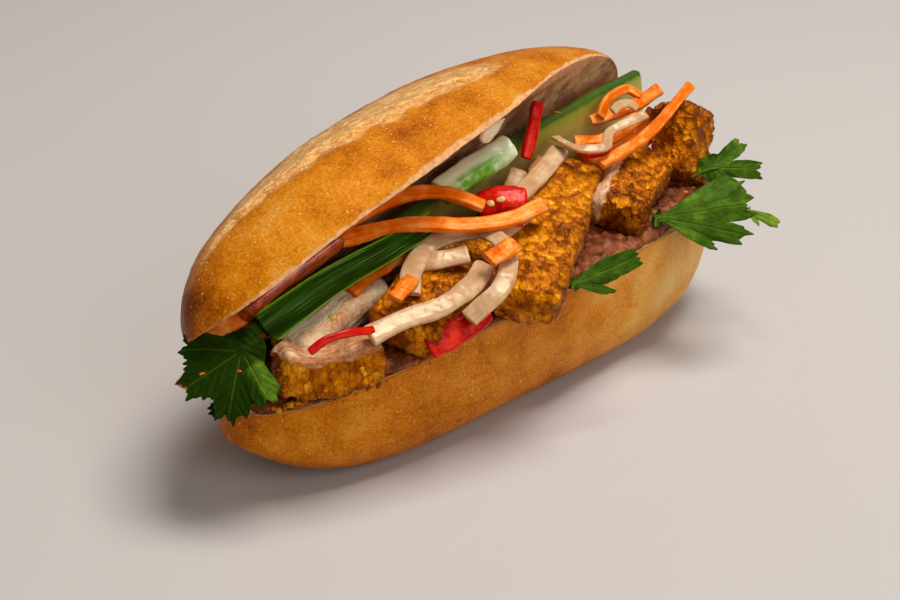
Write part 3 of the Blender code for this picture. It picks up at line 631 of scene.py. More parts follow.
def chickenMaterial():
    material, tree, shader, place = startMaterial("friedCrumbCoating", Specular_IOR_Level=0.8,
                                                  Specular_Tint=chickenLook["gloss"])
    fine = noiseOf(tree, place, 0.7, 3)
    # the coating's colour follows crag, which holds painted shade in the crevices and painted highlight on the raised
    # crumbs as well as their own tone
    shade = swing(tree, noiseOf(tree, place, 6, 3), 1.0, attribute(tree, "crag"))
    shade = swing(tree, fine, 0.32, shade)
    look = ramp(tree, shade, (0.0, chickenLook["dark"]), (0.25, chickenLook["brown"]), (0.50, chickenLook["golden"]),
                (0.76, chickenLook["bright"]), (1.0, chickenLook["tip"]))
    # the bare meat's colour follows its raised fibres, darker in the grooves between them, which is painted shade
    # over the meat's own streaks and whiteness
    strand = maths(tree, "MULTIPLY", attribute(tree, "fibre"), 0.55)
    strand = maths(tree, "MULTIPLY_ADD", noiseOf(tree, place, 1.2, 4), 0.5, strand)
    strand = maths(tree, "MULTIPLY_ADD", attribute(tree, "pale"), 0.30, strand)
    bare = ramp(tree, strand, (0.28, chickenLook["meatShade"]), (0.55, chickenLook["meat"]),
                (0.86, chickenLook["meatPale"]))
    look = mixColours(tree, attribute(tree, "coat"), bare, look)
    feed(tree, shader, look)
    feed(tree, shader, rangeOf(tree, noiseOf(tree, place, 2.5, 2), 0.35, 0.65, 0.16, 0.36), "Roughness")
    first = bump(tree, shader, fine, 0.35, 0.8)
    bump(tree, shader, noiseOf(tree, place, 1.8, 4), 0.35, 0.4, first)
    return material


def domes(near, own):
    # a dome about each seed, wider and higher where the seed's own value is high
    return np.sqrt(np.clip(1 - (near / (0.45 + 0.5 * own)) ** 2, 0, 1)) * (0.3 + 0.7 * own)


def makeChicken(name, spec, seed, material):
    # a bar with rounded ends; the coating is raised in big lumps, crags and single crumbs, the cut meat is smoother
    cut = chickenCuts.get(name, {})
    rings, place, across, deep, size = sweep(spec, rows=230, columns=220, endRound=chickenLook["endRound"] * mm,
                                             square=4.2, endSquare=3.5, capRows=26)
    normals = ringNormals(rings)
    uneven = softNoise(rings, 5 * mm, seed + 60) * 0.16 + softNoise(rings, 1.8 * mm, seed + 61) * 0.08
    coat = np.ones(across.shape)
    if "top" in cut:
        coat = 1 - smoothStep(cut["top"], cut["top"] + 0.12, deep + uneven) * (size[:, None] > 0.6)
    if "side" in cut:
        coat = 1 - smoothStep(cut["side"], cut["side"] + 0.10, -across + uneven * 0.6)
    # single crumbs: scattered domes of two sizes, their places pulled about so that none is round
    warp = np.stack([softNoise(rings, 1.6 * mm, seed + k) for k in (31, 32, 33)], -1) * chickenLook["warp"] * mm
    crags = domes(*grains(rings + warp, chickenLook["cragSize"] * mm, seed))
    crumbs = domes(*grains(rings + warp, chickenLook["crumbSize"] * mm, seed + 7))
    calm = cut.get("calm", 1.0)
    lumps = layeredNoise(rings, chickenLook["lumpSize"] * mm, 3, seed + 3) * calm
    rough = (crags * chickenLook["crag"] + crumbs * chickenLook["crumb"] - 0.3) * cut.get("craggy", 1)
    lift = lumps * chickenLook["lump"] + coat * rough - (1 - calm)
    # the bare meat splits into strands that run along the strip
    section = sectionPlaces(spec, across, deep, place * 6 + seed)
    section = section + np.stack([softNoise(rings, 7 * mm, seed + 8) * 1.5] * 3, -1)
    fibre = layeredNoise(section, 2.0, 3, seed + 9)
    smooth = layeredNoise(rings, 3.5 * mm, 3, seed + 5) * 0.5 - 0.8 + chickenLook["fibre"] * fibre
    lift = lift + (1 - coat) * smooth
    rings = rings + normals * (lift * mm)[..., None]
    ragged = 1 + 0.5 * softNoise(rings, 2.5 * mm, seed + 12)
    rings[..., 2] += cut.get("peak", 0) * mm * smoothStep(0.26, 0.06, place) * smoothStep(0.2, 1.0, deep) * ragged
    rings[..., 2] -= cut.get("dip", 0) * mm * smoothStep(0.5, 0.1, place) * smoothStep(-0.2, 0.6, deep)
    sink = cut.get("dish", 0) * (1 - coat) * smoothStep(0.3, 0.9, deep) * np.clip(1.15 - across ** 2, 0, 1)
    rings = rings - sink[..., None] * np.array([0, 0, mm])
    # the coating's colour value: painted shade in the crevices, painted highlight on raised crumbs and lumps, each
    # crumb's own tone, and the piece's painted light and shade
    crag = 0.20 + 0.44 * crags + 0.24 * crumbs * (0.4 + crags) + 0.28 * lumps + cut.get("tone", 0)
    return addRings(plainName(name), rings, material, [name],
                    {"crag": crag, "coat": coat, "pale": cut.get("pale", 0) + 0 * coat, "fibre": fibre * 0.5 + 0.5})


coating = chickenMaterial()
for seed, (name, spec) in enumerate(chicken.items()):
    makeChicken(name, spec, seed * 11 + 2, coating)
print("chicken done")

# Carrot: raw root in flat shreds, lightly pickled, so it is wet, a little see-through and paler along its grain, with
# patches of painted sheen.
carrot = strips("carrot", [
    ([(-56, 8, 75), (-30, 10, 76), (-15, 4, 75), (-6, -7, 71)], 5.5, 2.4, (0.2, -0.6, 1.0)),
    ([(-60, 5, 72), (-35, 1, 71), (-18, -12, 70), (-4, -18, 70), (9, -20, 72)], 5.5, 2.4, (0.2, -0.6, 1.0)),
    ([(47, -9, 70), (72, -8, 74), (104, 1, 81)], 4.4, 2.6, (0.0, -0.5, 1.0)),
    ([(66, 15, 73), (79, 9, 76), (96, 9, 79)], 4.6, 2.2, (0.0, -0.7, 1.0)),
    ([(68, 12, 75), (75, 15, 79), (83, 14, 81), (86, 9, 79)], 3.4, 2.0, (0.0, -0.9, 0.6)),
    ([(52, 9, 71), (62, 2, 72), (79, 3, 75)], 5.0, 2.2, (0.0, -0.6, 1.0)),
    ([(-57, -21, 61), (-45, -16, 62)], 5.0, 2.2, (-0.4, -0.5, 1.0)),
    ([(-27, -32, 68.5), (-14, -31, 69.5)], 6.0, 2.0, (-0.4, -0.5, 1.0)),
    ([(-61, -1, 58), (-47, 1, 60), (-33, 3, 61)], 9.0, 2.6, (-0.3, -0.5, 1.0)),
    ([(-108, 9, 52), (-98, 9, 56), (-87, 8, 60)], 7.0, 2.2, (-0.3, -0.8, 0.6)),
    ([(-104, 6, 48), (-92, 6, 51), (-80, 6, 53)], 7.0, 2.2, (-0.3, -0.5, 1.0)),
    ([(-90, 5, 65), (-93, 2, 58)], 4.0, 1.8, (-0.5, -0.8, 0.3)),
    ([(-121, 5, 43), (-112, 8, 46), (-103, 10, 48)], 4.5, 2.2, (-0.3, -0.5, 1.0)),
    ([(54, 6, 63), (70, 8, 63), (86, 8, 63), (95, 8, 70)], 9.0, 2.2, (0.0, -0.7, 0.8)),
])

# Daikon: white radish in broad soft ribbons, pickled to a milky, half-clear cream.
daikon = strips("daikon", [
    ([(-73, -28, 57), (-60, -30, 59), (-48, -33, 60), (-34, -31, 61), (-22, -25, 62)], 6.8, 2.6, (-0.3, -0.5, 1.0)),
    ([(-49, -19, 59), (-40, -10, 61), (-27, -5, 64), (-13, -11, 66), (-14, -26, 66), (-26, -38, 62),
      (-41, -38, 55)], 6.6, 2.0, (-0.3, -0.5, 1.0)),
    ([(-37, -5, 60), (-30, -11, 61), (-21, -16, 62)], 7.0, 2.2, (-0.3, -0.5, 1.0)),
    ([(44, 8, 71), (27, 0, 70), (11, -5, 68)], 7.0, 3.0, (-0.5, -0.5, 1.0)),
    ([(45, 12, 74), (42, -3, 76), (50, -8, 76), (59, -2, 77), (76, -3, 79)], 3.6, 1.5, (0.0, -0.6, 1.0)),
    ([(67.5, 5.5, 79.4), (73.2, 7.5, 79.8), (77.5, 6.5, 79.3), (79.2, 4.5, 77.5)], 3.2, 1.4, (0.0, -0.7, 0.7)),
    ([(-12, -19, 65), (7, -14, 66)], 5.0, 2.0, (-0.3, -0.5, 1.0)),
    ([(14, 2, 66), (24, 8, 69)], 6.0, 2.4, (-0.3, -0.5, 1.0)),
])

# Chilli: ripe red fruit sliced at a slant, waxy outside, with an orange wall inside.
chilli = strips("chilli", [
    ([(-93, -24, 57.5), (-87, -25, 60), (-80, -27, 60.5), (-71, -28, 58.5)], 2.6, 1.8, (-0.2, -0.7, 0.8)),
    ([(-54, -34, 47.5), (-42, -35, 50), (-30, -35, 53)], 8.0, 2.4, (-0.2, -0.9, 0.8)),
    ([(-2, 1, 66), (5, -3, 68), (12, -9, 68)], 10.0, 5.0, (-0.2, -0.6, 1.0)),
    ([(40, 16, 88), (34, 12, 80), (28, 9, 72)], 4.6, 2.6, (-0.4, -1.0, 0.3)),
    ([(49, 1, 71), (57, -5, 72)], 6.0, 3.0, (0.0, -0.6, 1.0)),
    ([(-5, -13, 66), (2, -17, 67)], 4.5, 2.0, (-0.2, -0.6, 1.0)),
])
shredLook = dict(carrot="#EC7004", carrotDeep="#CE5000", carrotPale="#F2A050", daikon="#CCA276", daikonPale="#E0C6A0",
                 daikonShade="#B4885C", chilli="#CC0A04", chilliDeep="#8E0402", chilliFlesh="#DE380C")


def shredMaterial(name, deep, main, pale, clear, gloss, streaky=0.5):
    # the grain runs along the strip: fine paler lines, and a slow change of tone
    material, tree, shader, place = startMaterial(name, soft=(clear, (1.0, 0.5, 0.25), 1.5), Roughness=0.25,
                                                  Specular_IOR_Level=0.55, Specular_Tint=gloss)
    lines = attribute(tree, "grain")
    shade = swing(tree, lines, streaky, noiseOf(tree, place, 6, 3))
    look = ramp(tree, shade, (0.20, deep), (0.50, main), (0.75, pale))
    # towards the pale colour: patches of painted sheen on the shreds, and the stem's own whitish part
    look = mixColours(tree, attribute(tree, "bleached"), look, pale)
    feed(tree, shader, look)
    bump(tree, shader, maths(tree, "ADD", lines, noiseOf(tree, place, 1.5, 3)), 0.3, streaky)
    return material


def makeShred(name, spec, seed, material, slotName, square=4.5, bleach=0.0, uneven=0.25, waver=0.12):
    # a cut strip with its own slight unevenness; the grain value changes across it and hardly along it
    rows = 40 + 26 * len(spec["path"])
    rings, place, across, deep, size = sweep(spec, rows, columns=48, endRound=spec["thick"] * 0.3 * mm,
                                             square=square, endSquare=3.0)
    wider = 1 + waver * softNoise(np.stack([place * 7 + seed, 0 * place, 0 * place], -1), 1.0, seed + 9)
    rings = resized(rings, wider)
    normals = ringNormals(rings)
    rings = rings + normals * (layeredNoise(rings, 5 * mm, 2, seed) * uneven * mm)[..., None]
    rings = rings + normals * (softNoise(rings, 1.6 * mm, seed + 1) * 0.08 * mm)[..., None]
    section = sectionPlaces(spec, across, deep, place * 2.0 + seed)
    grain = layeredNoise(section, 0.8, 2, seed + 2) * 0.5 + 0.5
    streaks = layeredNoise(np.stack([across * 1.4, deep, place * 6], -1), 0.6, 3, seed + 4)
    # patches of painted sheen, as strong as the given share, go towards the pale colour
    return addRings(plainName(name), rings, material, [name],
                    {"grain": grain, "bleached": bleach * smoothStep(0.10, 0.55, streaks)})


def shredColours(kind, *tones):
    return [shredLook[kind + tone] for tone in tones]


carrotFlesh = shredMaterial("pickledCarrot", *shredColours("carrot", "Deep", "", "Pale"), 0.2, "#FFA850")
daikonFlesh = shredMaterial("pickledDaikon", *shredColours("daikon", "Shade", "", "Pale"), 0.8, "#FFE8C4", 0.2)
chilliSkin = shredMaterial("ripeChilli", *shredColours("chilli", "Deep", "", "Flesh"), 0.05, "#FF9080")
for kind, slotName, firstSeed, flesh, settings in ((carrot, "carrot", 100, carrotFlesh, (4.5, 0.3)),
                                                   (daikon, "daikon", 200, daikonFlesh, (3.2, 0.15, 0.2, 0.08)),
                                                   (chilli, "chilli", 300, chilliSkin, (2.8, 0.0, 0.15))):
    for seed, (name, spec) in enumerate(kind.items()):
        makeShred(name, spec, seed + firstSeed, flesh, slotName, *settings)
print("shreds done")


# Cucumber: one long slice, pale wet flesh that greens towards a dark waxy skin along its upper edge.
cucumber = dict(path=[(-98, 10, 45), (-45, 17, 50), (15, 20, 61), (60, 21, 66), (101, 23, 68)], width=26, thick=5,
                face=(0.0, -0.74, -0.67), faceEnd=(0.0, -0.99, 0.1), flesh="#D0BA54", core="#E2D07C", ring="#94A232",
                skin="#3C5E10")


def cucumberMaterial():
    material, tree, shader, place = startMaterial("freshCucumber", soft=(0.35, (0.6, 1.0, 0.3), 3),
                                                  Roughness=0.22, Specular_IOR_Level=0.5, Coat_Weight=0.3,
                                                  Coat_Roughness=0.12)
    rim = maths(tree, "MULTIPLY_ADD", noiseOf(tree, place, 3, 3), 0.10, attribute(tree, "rim"))
    look = ramp(tree, rim, (0.0, cucumber["core"]), (0.50, cucumber["flesh"]), (0.86, cucumber["ring"]),
                (0.985, cucumber["skin"]))
    feed(tree, shader, look)
    bump(tree, shader, noiseOf(tree, place, 1.4, 3), 0.2, 0.3)
    return material


def makeCucumber():
    rings, place, across, deep, size = sweep(cucumber, rows=240, columns=60, endRound=1.5 * mm, square=5.0,
                                             endSquare=3.0)
    rings = roughen(rings, 12, 77, 0.3)
    rim = np.abs(across)
    return addRings("cucumberSlice", rings, cucumberMaterial(), ["cucumber"], {"rim": rim})


makeCucumber()

# Tomato: a soft wet slice under the lid's lip.
tomato = dict(path=[(-96, 6, 58), (-78, 6, 64), (-58, 5, 71)], width=24, thick=5, face=(0.0, -0.70, -0.71),
              flesh="#B8401A", deep="#8A260C", pale="#DC7C48")


def makeTomato():
    material, tree, shader, place = startMaterial("ripeTomato", soft=(0.4, (1.0, 0.3, 0.15), 3), Roughness=0.16,
                                                  Coat_Weight=0.5, Coat_Roughness=0.08)
    look = ramp(tree, noiseOf(tree, place, 4, 4), (0.3, tomato["deep"]), (0.55, tomato["flesh"]),
                (0.8, tomato["pale"]))
    feed(tree, shader, look)
    bump(tree, shader, noiseOf(tree, place, 3, 3), 0.5, 0.5)
    rings, place, across, deep, size = sweep(tomato, rows=90, columns=60, endRound=3 * mm, square=3.0, endSquare=2.2)
    rings = roughen(rings, 8, 81, 0.6)
    return addRings("tomatoSlice", rings, material, ["tomato"])


makeTomato()

# Spring onion: a halved hollow leaf, dark and waxy with fine pale lines along it, and a juicy paler stem.
springOnion = dict(leaf=dict(path=[(-94, -4, 58), (-68, -3, 64), (-40, -2, 67), (-21, 0, 69)], width=11, wall=1.6,
                             depth=4.0, taper=0.62, face=(-0.35, -0.55, 0.75)),
                   stem=dict(path=[(-14, 7, 73), (2, 7, 77), (18, 6, 81)], width=10, thick=7,
                             face=(-0.35, -0.55, 0.75)),
                   dark="#163402", green="#305A08", rim="#78AA18", line="#86A45C", stemGreen="#6CAE18",
                   stemPale="#E2E6C4")


def leafMaterial():
    material, tree, shader, place = startMaterial("springOnionLeaf", soft=(0.1, (0.4, 1.0, 0.2), 1),
                                                  Roughness=0.42, Specular_IOR_Level=0.3, Specular_Tint="#D8FF90")
    grain = attribute(tree, "grain")
    look = ramp(tree, grain, (0.15, springOnion["dark"]), (0.5, springOnion["green"]), (0.95, springOnion["line"]))
    look = mixColours(tree, attribute(tree, "rim"), look, springOnion["rim"])
    feed(tree, shader, look)
    bump(tree, shader, grain, 0.2, 0.6)
    return material


def makeSpringOnion():
    spec = springOnion["leaf"]
    rows, columns = 160, 41
    path, length = curveThrough(spec["path"], rows)
    along = unit(np.gradient(path, axis=0))
    look = squareTo(np.array(spec["face"], float), along)
    side = np.cross(along, look)
    turn = np.linspace(-1, 1, columns)
    half, depth, wall = spec["width"] / 2 * mm, spec["depth"] * mm, spec["wall"] * mm
    inner = np.stack([half * turn, depth * (turn ** 2 - 1)], -1)
    outer = np.stack([half * turn, depth * (turn ** 2 - 1) - wall * (1 - 0.6 * turn ** 2)], -1)[::-1]
    loop = np.vstack([inner, outer])[None] * np.linspace(1, spec["taper"], rows)[:, None, None]
    rings = path[:, None] + loop[..., :1] * side[:, None] + loop[..., 1:] * look[:, None]
    lengthwise = np.broadcast_to(np.linspace(0, length, rows)[:, None], rings.shape[:2])
    turned = np.broadcast_to(np.concatenate([turn, turn[::-1]])[None], rings.shape[:2])
    # fine lines along the leaf, and a slow band of painted sheen down its middle
    lines = np.stack([turned * 9, lengthwise / mm * 0.03, 0 * turned], -1)
    bloom = layeredNoise(np.stack([turned * 6, lengthwise / mm * 0.06, 0 * turned], -1), 1.0, 3, 95)
    grain = np.clip(0.42 + 0.50 * layeredNoise(lines, 0.42, 3, 91) + 0.38 * bloom, 0, 1)
    rings = rings + (layeredNoise(rings, 9 * mm, 2, 93) * 0.35 * mm)[..., None] * look[:, None]
    addRings("springOnionLeaf", rings, leafMaterial(), ["spring_onion_leaf"],
             {"grain": grain, "rim": smoothStep(0.86, 0.98, np.abs(turned))})
    stemFlesh = shredMaterial("springOnionStem", springOnion["green"], springOnion["stemGreen"],
                              springOnion["stemPale"], 0.3, "#F4FFD8", 0.22)
    spec = springOnion["stem"]
    rings, place, across, deep, size = sweep(spec, rows=90, columns=48, endRound=1.4 * mm, square=2.2, endSquare=3.5)
    section = np.stack([across * 5, deep * 4, place * 1.5], -1)
    grain = layeredNoise(section, 1.0, 2, 97) * 0.5 + 0.5
    # a bright green streak runs low along it and fades out before the whitish torn end
    pale = 0.92 * (1 - smoothStep(-0.25, 0.35, across) * smoothStep(0.98, 0.60, place))
    torn = softNoise(np.stack([across * 1.5, deep, place * 4], -1), 1.0, 98)
    torn = 1 - 0.30 * smoothStep(0.55, 1.0, place) * smoothStep(-0.3, 0.6, torn)
    rings = resized(rings, torn)
    rings = roughen(rings, 2.5, 99, 0.4, [0.4, 1, 1])
    addRings("springOnionStem", rings, stemFlesh, ["spring_onion_stem"],
             {"grain": grain, "bleached": pale})


makeSpringOnion()

# Mayonnaise: a thick glossy emulsion, warm white.
mayonnaise = dict(path=[(2, 4, 89), (8, 4, 91), (14, 5, 93)], width=5.5, thick=3.6, face=(0.0, -1.0, 0.1),
                  cream="#FBEED2", shade="#ECDAB4")


def makeMayonnaise():
    material, tree, shader, place = startMaterial("mayonnaise", soft=(0.6, (1.0, 0.8, 0.5), 2), Roughness=0.25)
    look = mixColours(tree, noiseOf(tree, place, 4, 2), mayonnaise["cream"], mayonnaise["shade"])
    feed(tree, shader, look)
    rings, place, across, deep, size = sweep(mayonnaise, rows=40, columns=40, endRound=3 * mm, square=2.2,
                                             endSquare=2.0)
    rings = resized(rings, 1.05 - 0.75 * place ** 1.5)
    rings = roughen(rings, 4, 121, 0.9)
    return addRings("mayonnaiseDab", rings, material, ["mayonnaise"])


makeMayonnaise()
print("slices, spring onion and mayonnaise done")

# Coriander: soft thin blades with rounded lobes and teeth, veins that fan from the stalk.
leafShapes = {
    "round": dict(core=0.35, gather=0.3, power=4,
                  lobes=((0.0, 1.0, 0.48), (0.8, 1.0, 0.48), (1.5, 0.8, 0.42), (-0.65, 0.85, 0.42))),
    "fan": dict(core=0.08, gather=0.7, power=4,
                lobes=((0.02, 1.0, 0.3), (0.34, 0.97, 0.22), (-0.33, 0.93, 0.22), (-0.62, 0.62, 0.22))),
    "split": dict(core=0.3, gather=0.4, power=4, lobes=((0.0, 1.0, 0.33), (0.75, 0.84, 0.32), (-0.75, 0.84, 0.32))),
    "narrow": dict(core=0.08, gather=0.8, power=2, lobes=((0.0, 1.0, 0.34), (-0.55, 0.5, 0.28))),
}
# each leaf: where the blade starts, where its tip points, which way it faces, its size, its teeth to a full turn, its
# shape, its stalk from the blade on, how far it bends down and how much lighter or darker it is painted, as painted
# light and shade
leafValues = ("centre", "tip", "face", "radius", "teeth", "shape", "stalk", "bend", "tone")
coriander = {"coriander_%d" % n: dict(zip(leafValues, row)) for n, row in enumerate([
    ((-106, -7.3, 55.5), (-0.85, 0.3, -0.45), (-0.45, -0.5, 0.72), 21, 26, "round",
     [(-103, -5, 56), (-99, -1, 56)], 0.15, -0.5),
    ((-101.8, -6.2, 54), (-0.33, -0.38, -0.86), (-0.85, -0.1, 0.3), 13, 20, "narrow",
     [(-100, -3, 56), (-97, 1, 56)], 0.2, 0.25),
    ((6, -38.5, 50.2), (0.99, 0.0, -0.12), (-0.3, -0.6, 0.75), 26, 30, "narrow",
     [(5, -38.8, 50.2), (3.5, -40, 49.8)], 0.05, -0.05),
    ((57, -29, 53.5), (0.8, -0.56, 0.12), (-0.4, -0.45, 0.8), 33, 34, "fan",
     [(55.5, -29, 53.5), (52.5, -31.5, 52.5)], 0.08, 0),
    ((96, -19, 57), (0.75, -0.66, -0.03), (-0.45, -0.5, 0.74), 18, 24, "split",
     [(93, -19, 57), (87, -16.5, 55)], 0.15, 0),
    ((96, -37, 46.5), (0.42, -0.75, -0.5), (-0.3, -0.3, 0.9), 13, 20, "narrow",
     [(92, -32, 48), (85, -25, 50)], 0.1, 0.3),
    ((-105, -14, 41), (-0.81, 0.55, -0.2), (-0.45, -0.5, 0.74), 17, 24, "narrow",
     [(-103.5, -14, 42), (-102.5, -12, 45)], 0.1, -0.35),
], 1)}
herbLook = dict(green="#38540A", light="#748E22", dark="#162A02", half=0.25, stalk=0.8, hub=0.6, widestHub=1.2,
                folded="coriander_1", foldAside=(4.0, 6.5), foldAhead=(5.0, 1.0), foldPaler=0.55)


def herbMaterial():
    material, tree, shader, place = startMaterial("corianderLeaf", soft=(0.15, (0.4, 1.0, 0.2), 1), Roughness=0.5,
                                                  Specular_IOR_Level=0.22, Specular_Tint="#C0FF60")
    vein = attribute(tree, "vein")
    # random tone, plus each leaf's painted light and shade and the paler underside where it is folded
    tone = maths(tree, "ADD", noiseOf(tree, place, 5, 4), attribute(tree, "tone"))
    look = ramp(tree, tone, (0.2, herbLook["dark"]), (0.55, herbLook["green"]), (0.9, herbLook["light"]))
    look = mixColours(tree, maths(tree, "MULTIPLY", vein, 0.3), look, herbLook["light"])
    feed(tree, shader, look)
    first = bump(tree, shader, vein, 0.3, 0.5)
    bump(tree, shader, noiseOf(tree, place, 1.2, 3), 0.25, 0.5, first)
    return material


def teethOf(angle, count):
    # a pointed wave from -1 to 1, count to a full turn, leaning to one side
    t = (angle / (2 * math.pi) * count) % 1
    return np.where(t < 0.62, t / 0.62, (1 - t) / 0.38) * 2 - 1


def bladeOutline(angle, shape, teeth):
    # share of the leaf's size at each angle: rounded lobes cut into teeth of two sizes, 0 is the tip
    reach = np.zeros_like(angle)
    for at, size, width in shape["lobes"]:
        reach = np.maximum(reach, size * np.exp(-np.abs((angle - at) / width) ** shape["power"]))
    cuts = 0.075 * teethOf(np.abs(angle), teeth) + 0.03 * teethOf(np.abs(angle) + 0.1, teeth * 2.6)
    return shape["core"] + (1 - shape["core"]) * reach + cuts * reach


def makeCoriander(name, spec, material):
    # a thin curved sheet from a small round hub out to the toothed outline, a face on each side, and a round stalk
    spokes, circles = 300, 30
    shape = leafShapes[spec["shape"]]
    face = unit(np.array(spec["face"], float))
    tip = np.array(spec["tip"], float)
    tip = unit(tip - (tip @ face) * face)
    side = np.cross(face, tip)
    centre = np.array(spec["centre"], float) * mm
    angle = (np.arange(spokes) + 0.5) / spokes * 2 * math.pi - math.pi
    angle = angle - shape["gather"] * np.sin(angle)
    size = spec["radius"] * mm
    hub = min(herbLook["hub"] * shape["core"] * size, herbLook["widestHub"] * mm)
    reach = np.linspace(0, 1, circles)[:, None]
    radius = hub + (size * bladeOutline(angle, shape, spec["teeth"]) - hub) * reach
    flatX = radius * np.cos(angle)
    flatY = radius * np.sin(angle)
    rise = -spec["bend"] * (flatX ** 2 + 0.6 * flatY ** 2) / size + 0.06 * size * np.sin(5 * angle + 1) * reach ** 2
    # veins: one down the middle of each lobe, and finer ones that leave it at a slant; the blade sinks there
    lobes = np.array([lobe[0] for lobe in shape["lobes"]])
    turned = angle - lobes[np.argmin(np.abs(angle[:, None] - lobes), 1)]
    ahead, aside = radius * np.cos(turned) / mm, np.abs(radius * np.sin(turned)) / mm
    branch = ((ahead - 1.3 * aside) / 3.4) % 1 - 0.5
    slanting = 0.25 * np.exp(-(branch / 0.07) ** 2) * smoothStep(0.0, 1.0, aside)
    veins = np.maximum(np.exp(-(aside / 0.28) ** 2), slanting)
    veins = veins * (1 - 0.5 * reach) * smoothStep(0, 0.1, reach)
    rise = rise - 0.22 * mm * veins + 0.12 * mm * np.cos(2 * math.pi * branch) * smoothStep(0, 3, aside)
    sheet = centre + flatX[..., None] * tip + flatY[..., None] * side + rise[..., None] * face
    sheet = sheet + (layeredNoise(sheet, 5 * mm, 2, spec["radius"]) * 0.9 * mm * reach)[..., None] * face
    half = herbLook["half"] * mm * face
    rings = np.concatenate([sheet + half, sheet[::-1] - half], 0)
    # the left leaf is folded over there and shows its paler underside; here that part is only made paler, not folded
    fold = smoothStep(*herbLook["foldAside"], flatY / mm) * smoothStep(*herbLook["foldAhead"], flatX / mm)
    fold = fold * (name == herbLook["folded"])
    addRings(plainName(name), rings, material, [name],
             {"vein": np.concatenate([veins, veins[::-1] * 0.6], 0),
              "tone": spec["tone"] + herbLook["foldPaler"] * np.concatenate([fold, fold[::-1]], 0)})
    stem = dict(path=[tuple(np.array(spec["centre"], float) + 3 * tip)] + spec["stalk"], face=spec["face"],
                width=herbLook["stalk"], thick=herbLook["stalk"])
    rings, place, across, deep, size = sweep(stem, rows=40, columns=12, endRound=0.6 * mm, square=2.0,
                                             endSquare=2.0, capRows=4)
    addRings(plainName(name) + "Stalk", rings, material, [name],
             {"vein": 0.8 + 0 * across, "tone": spec["tone"] + 0 * across})


herb = herbMaterial()
for name, spec in coriander.items():
    makeCoriander(name, spec, herb)
print("coriander done")


# Loose bits: crumbs shed by the coating, seeds of the chilli and flecks of carrot. Each is given by its place in
# the picture and its size in mm, and lies on whatever the camera sees there.
looseBits = dict(
    crumbs=[(273, 408, 1.1), (279, 410, 1.3), (285, 408, 1.0), (291, 404, 1.5), (297, 402, 1.1), (304, 399, 1.6),
            (311, 397, 1.0), (318, 394, 1.3), (325, 391, 0.9), (361, 370, 1.3), (365, 373, 1.5), (369, 378, 1.4),
            (371, 384, 1.2), (366, 381, 1.3), (368, 389, 1.0), (344, 401, 0.9), (357, 394, 0.8), (379, 385, 1.0),
            (416, 362, 0.9), (429, 355, 1.0), (436, 350, 1.1), (449, 346, 1.2), (531, 318, 1.1), (539, 313, 0.9),
            (575, 290, 1.0), (683, 226, 0.9), (693, 188, 1.2), (686, 192, 0.9)],
    lines=[((266, 414), (388, 378), 34), ((388, 378), (458, 344), 16), ((566, 276), (664, 232), 20)], lineSpread=3.0,
    small=(0.25, 0.6), seeds=[(332, 317), (490, 203), (501, 199), (456, 250)],
    flecks=[(475, 376, 3.6), (202, 374, 2.4), (238, 371, 2.8), (375, 330, 2.6), (547, 107, 2.8), (557, 112, 3.2)],
    seedSize=(1.7, 1.2, 0.4), fleckWidth=0.8, fleckThick=0.3, seedShell="#E8C878", seedShade="#C89A48")


def cameraWay():
    # the camera's turn and tilt, and the unit direction from the target back to it
    a, e = math.radians(camera["azimuth"]), math.radians(camera["elevation"])
    return a, e, np.array([math.sin(a) * math.cos(e), -math.cos(a) * math.cos(e), math.sin(e)])


def pictureRays(places):
    # from the camera through each picture place, as start and unit directions
    a, e, back = cameraWay()
    right = np.array([math.cos(a), math.sin(a), 0])
    up = np.cross(back, right)
    places = np.array(places, float)
    scale = camera["sensor"] / camera["pictureWidth"] / camera["lens"]
    aside = (places[:, :1] - camera["pictureWidth"] / 2) * scale
    above = (camera["pictureHeight"] / 2 - places[:, 1:]) * scale
    return np.array(camera["target"]) + back * camera["distance"], unit(aside * right + above * up - back)


def landings(places, kinds):
    # where each ray meets the food and which way the surface faces there; only hits on the named kinds count
    start, ways = pictureRays(places)
    graph = bpy.context.evaluated_depsgraph_get()
    found = [bpy.context.scene.ray_cast(graph, start, way) for way in ways]
    spots = np.array([hit[1] for hit in found])
    facing = np.array([hit[2] for hit in found])
    return spots, facing, np.array([hit[0] and hit[4].name.startswith(kinds) for hit in found])


def addBits(name, spots, facing, lengths, seed, material, values, way=None):
    # one small uneven ball a spot, squashed to its own three half lengths and sunk into what it lies on; way, where
    # it is given, is roughly the direction of the first length
    rows, columns = 6, 8
    v = np.linspace(math.pi - 0.35, 0.35, rows)[:, None]
    w = np.arange(columns) / columns * 2 * math.pi
    ball = np.stack([np.sin(v) * np.cos(w), np.sin(v) * np.sin(w), np.cos(v) + 0 * w], -1).reshape(-1, 3)
    ball = np.vstack([ball, [[0, 0, -1], [0, 0, 1]]])
    count = len(spots)
    draw = np.random.default_rng(seed)
    spun = draw.uniform(-1, 1, (count, 3)) * (0.35 if way else 1) + (way or (0, 0, 0))
    lead = squareTo(spun, facing)
    axes = np.stack([lead, np.cross(facing, lead), facing], 1)
    uneven = 1 + 0.35 * softNoise(ball[None] * 1.1 + np.arange(count)[:, None, None] * 5.3, 1.0, seed)
    shaped = ball[None] * uneven[..., None] * lengths[:, None] * mm
    points = spots[:, None] + shaped @ axes + (facing * lengths[:, 2:] * 0.35 * mm)[:, None]
    shift = (np.arange(count) * len(ball))[:, None, None]
    quads = (ringFaces(rows, columns)[None] + shift).reshape(-1, 4)
    triangles = (endFans(rows, columns)[None] + shift).reshape(-1, 3)
    full = {key: np.repeat(v, len(ball)) for key, v in values.items()}
    return addPiece(name, points.reshape(-1, 3), quads, triangles, material, (), full)


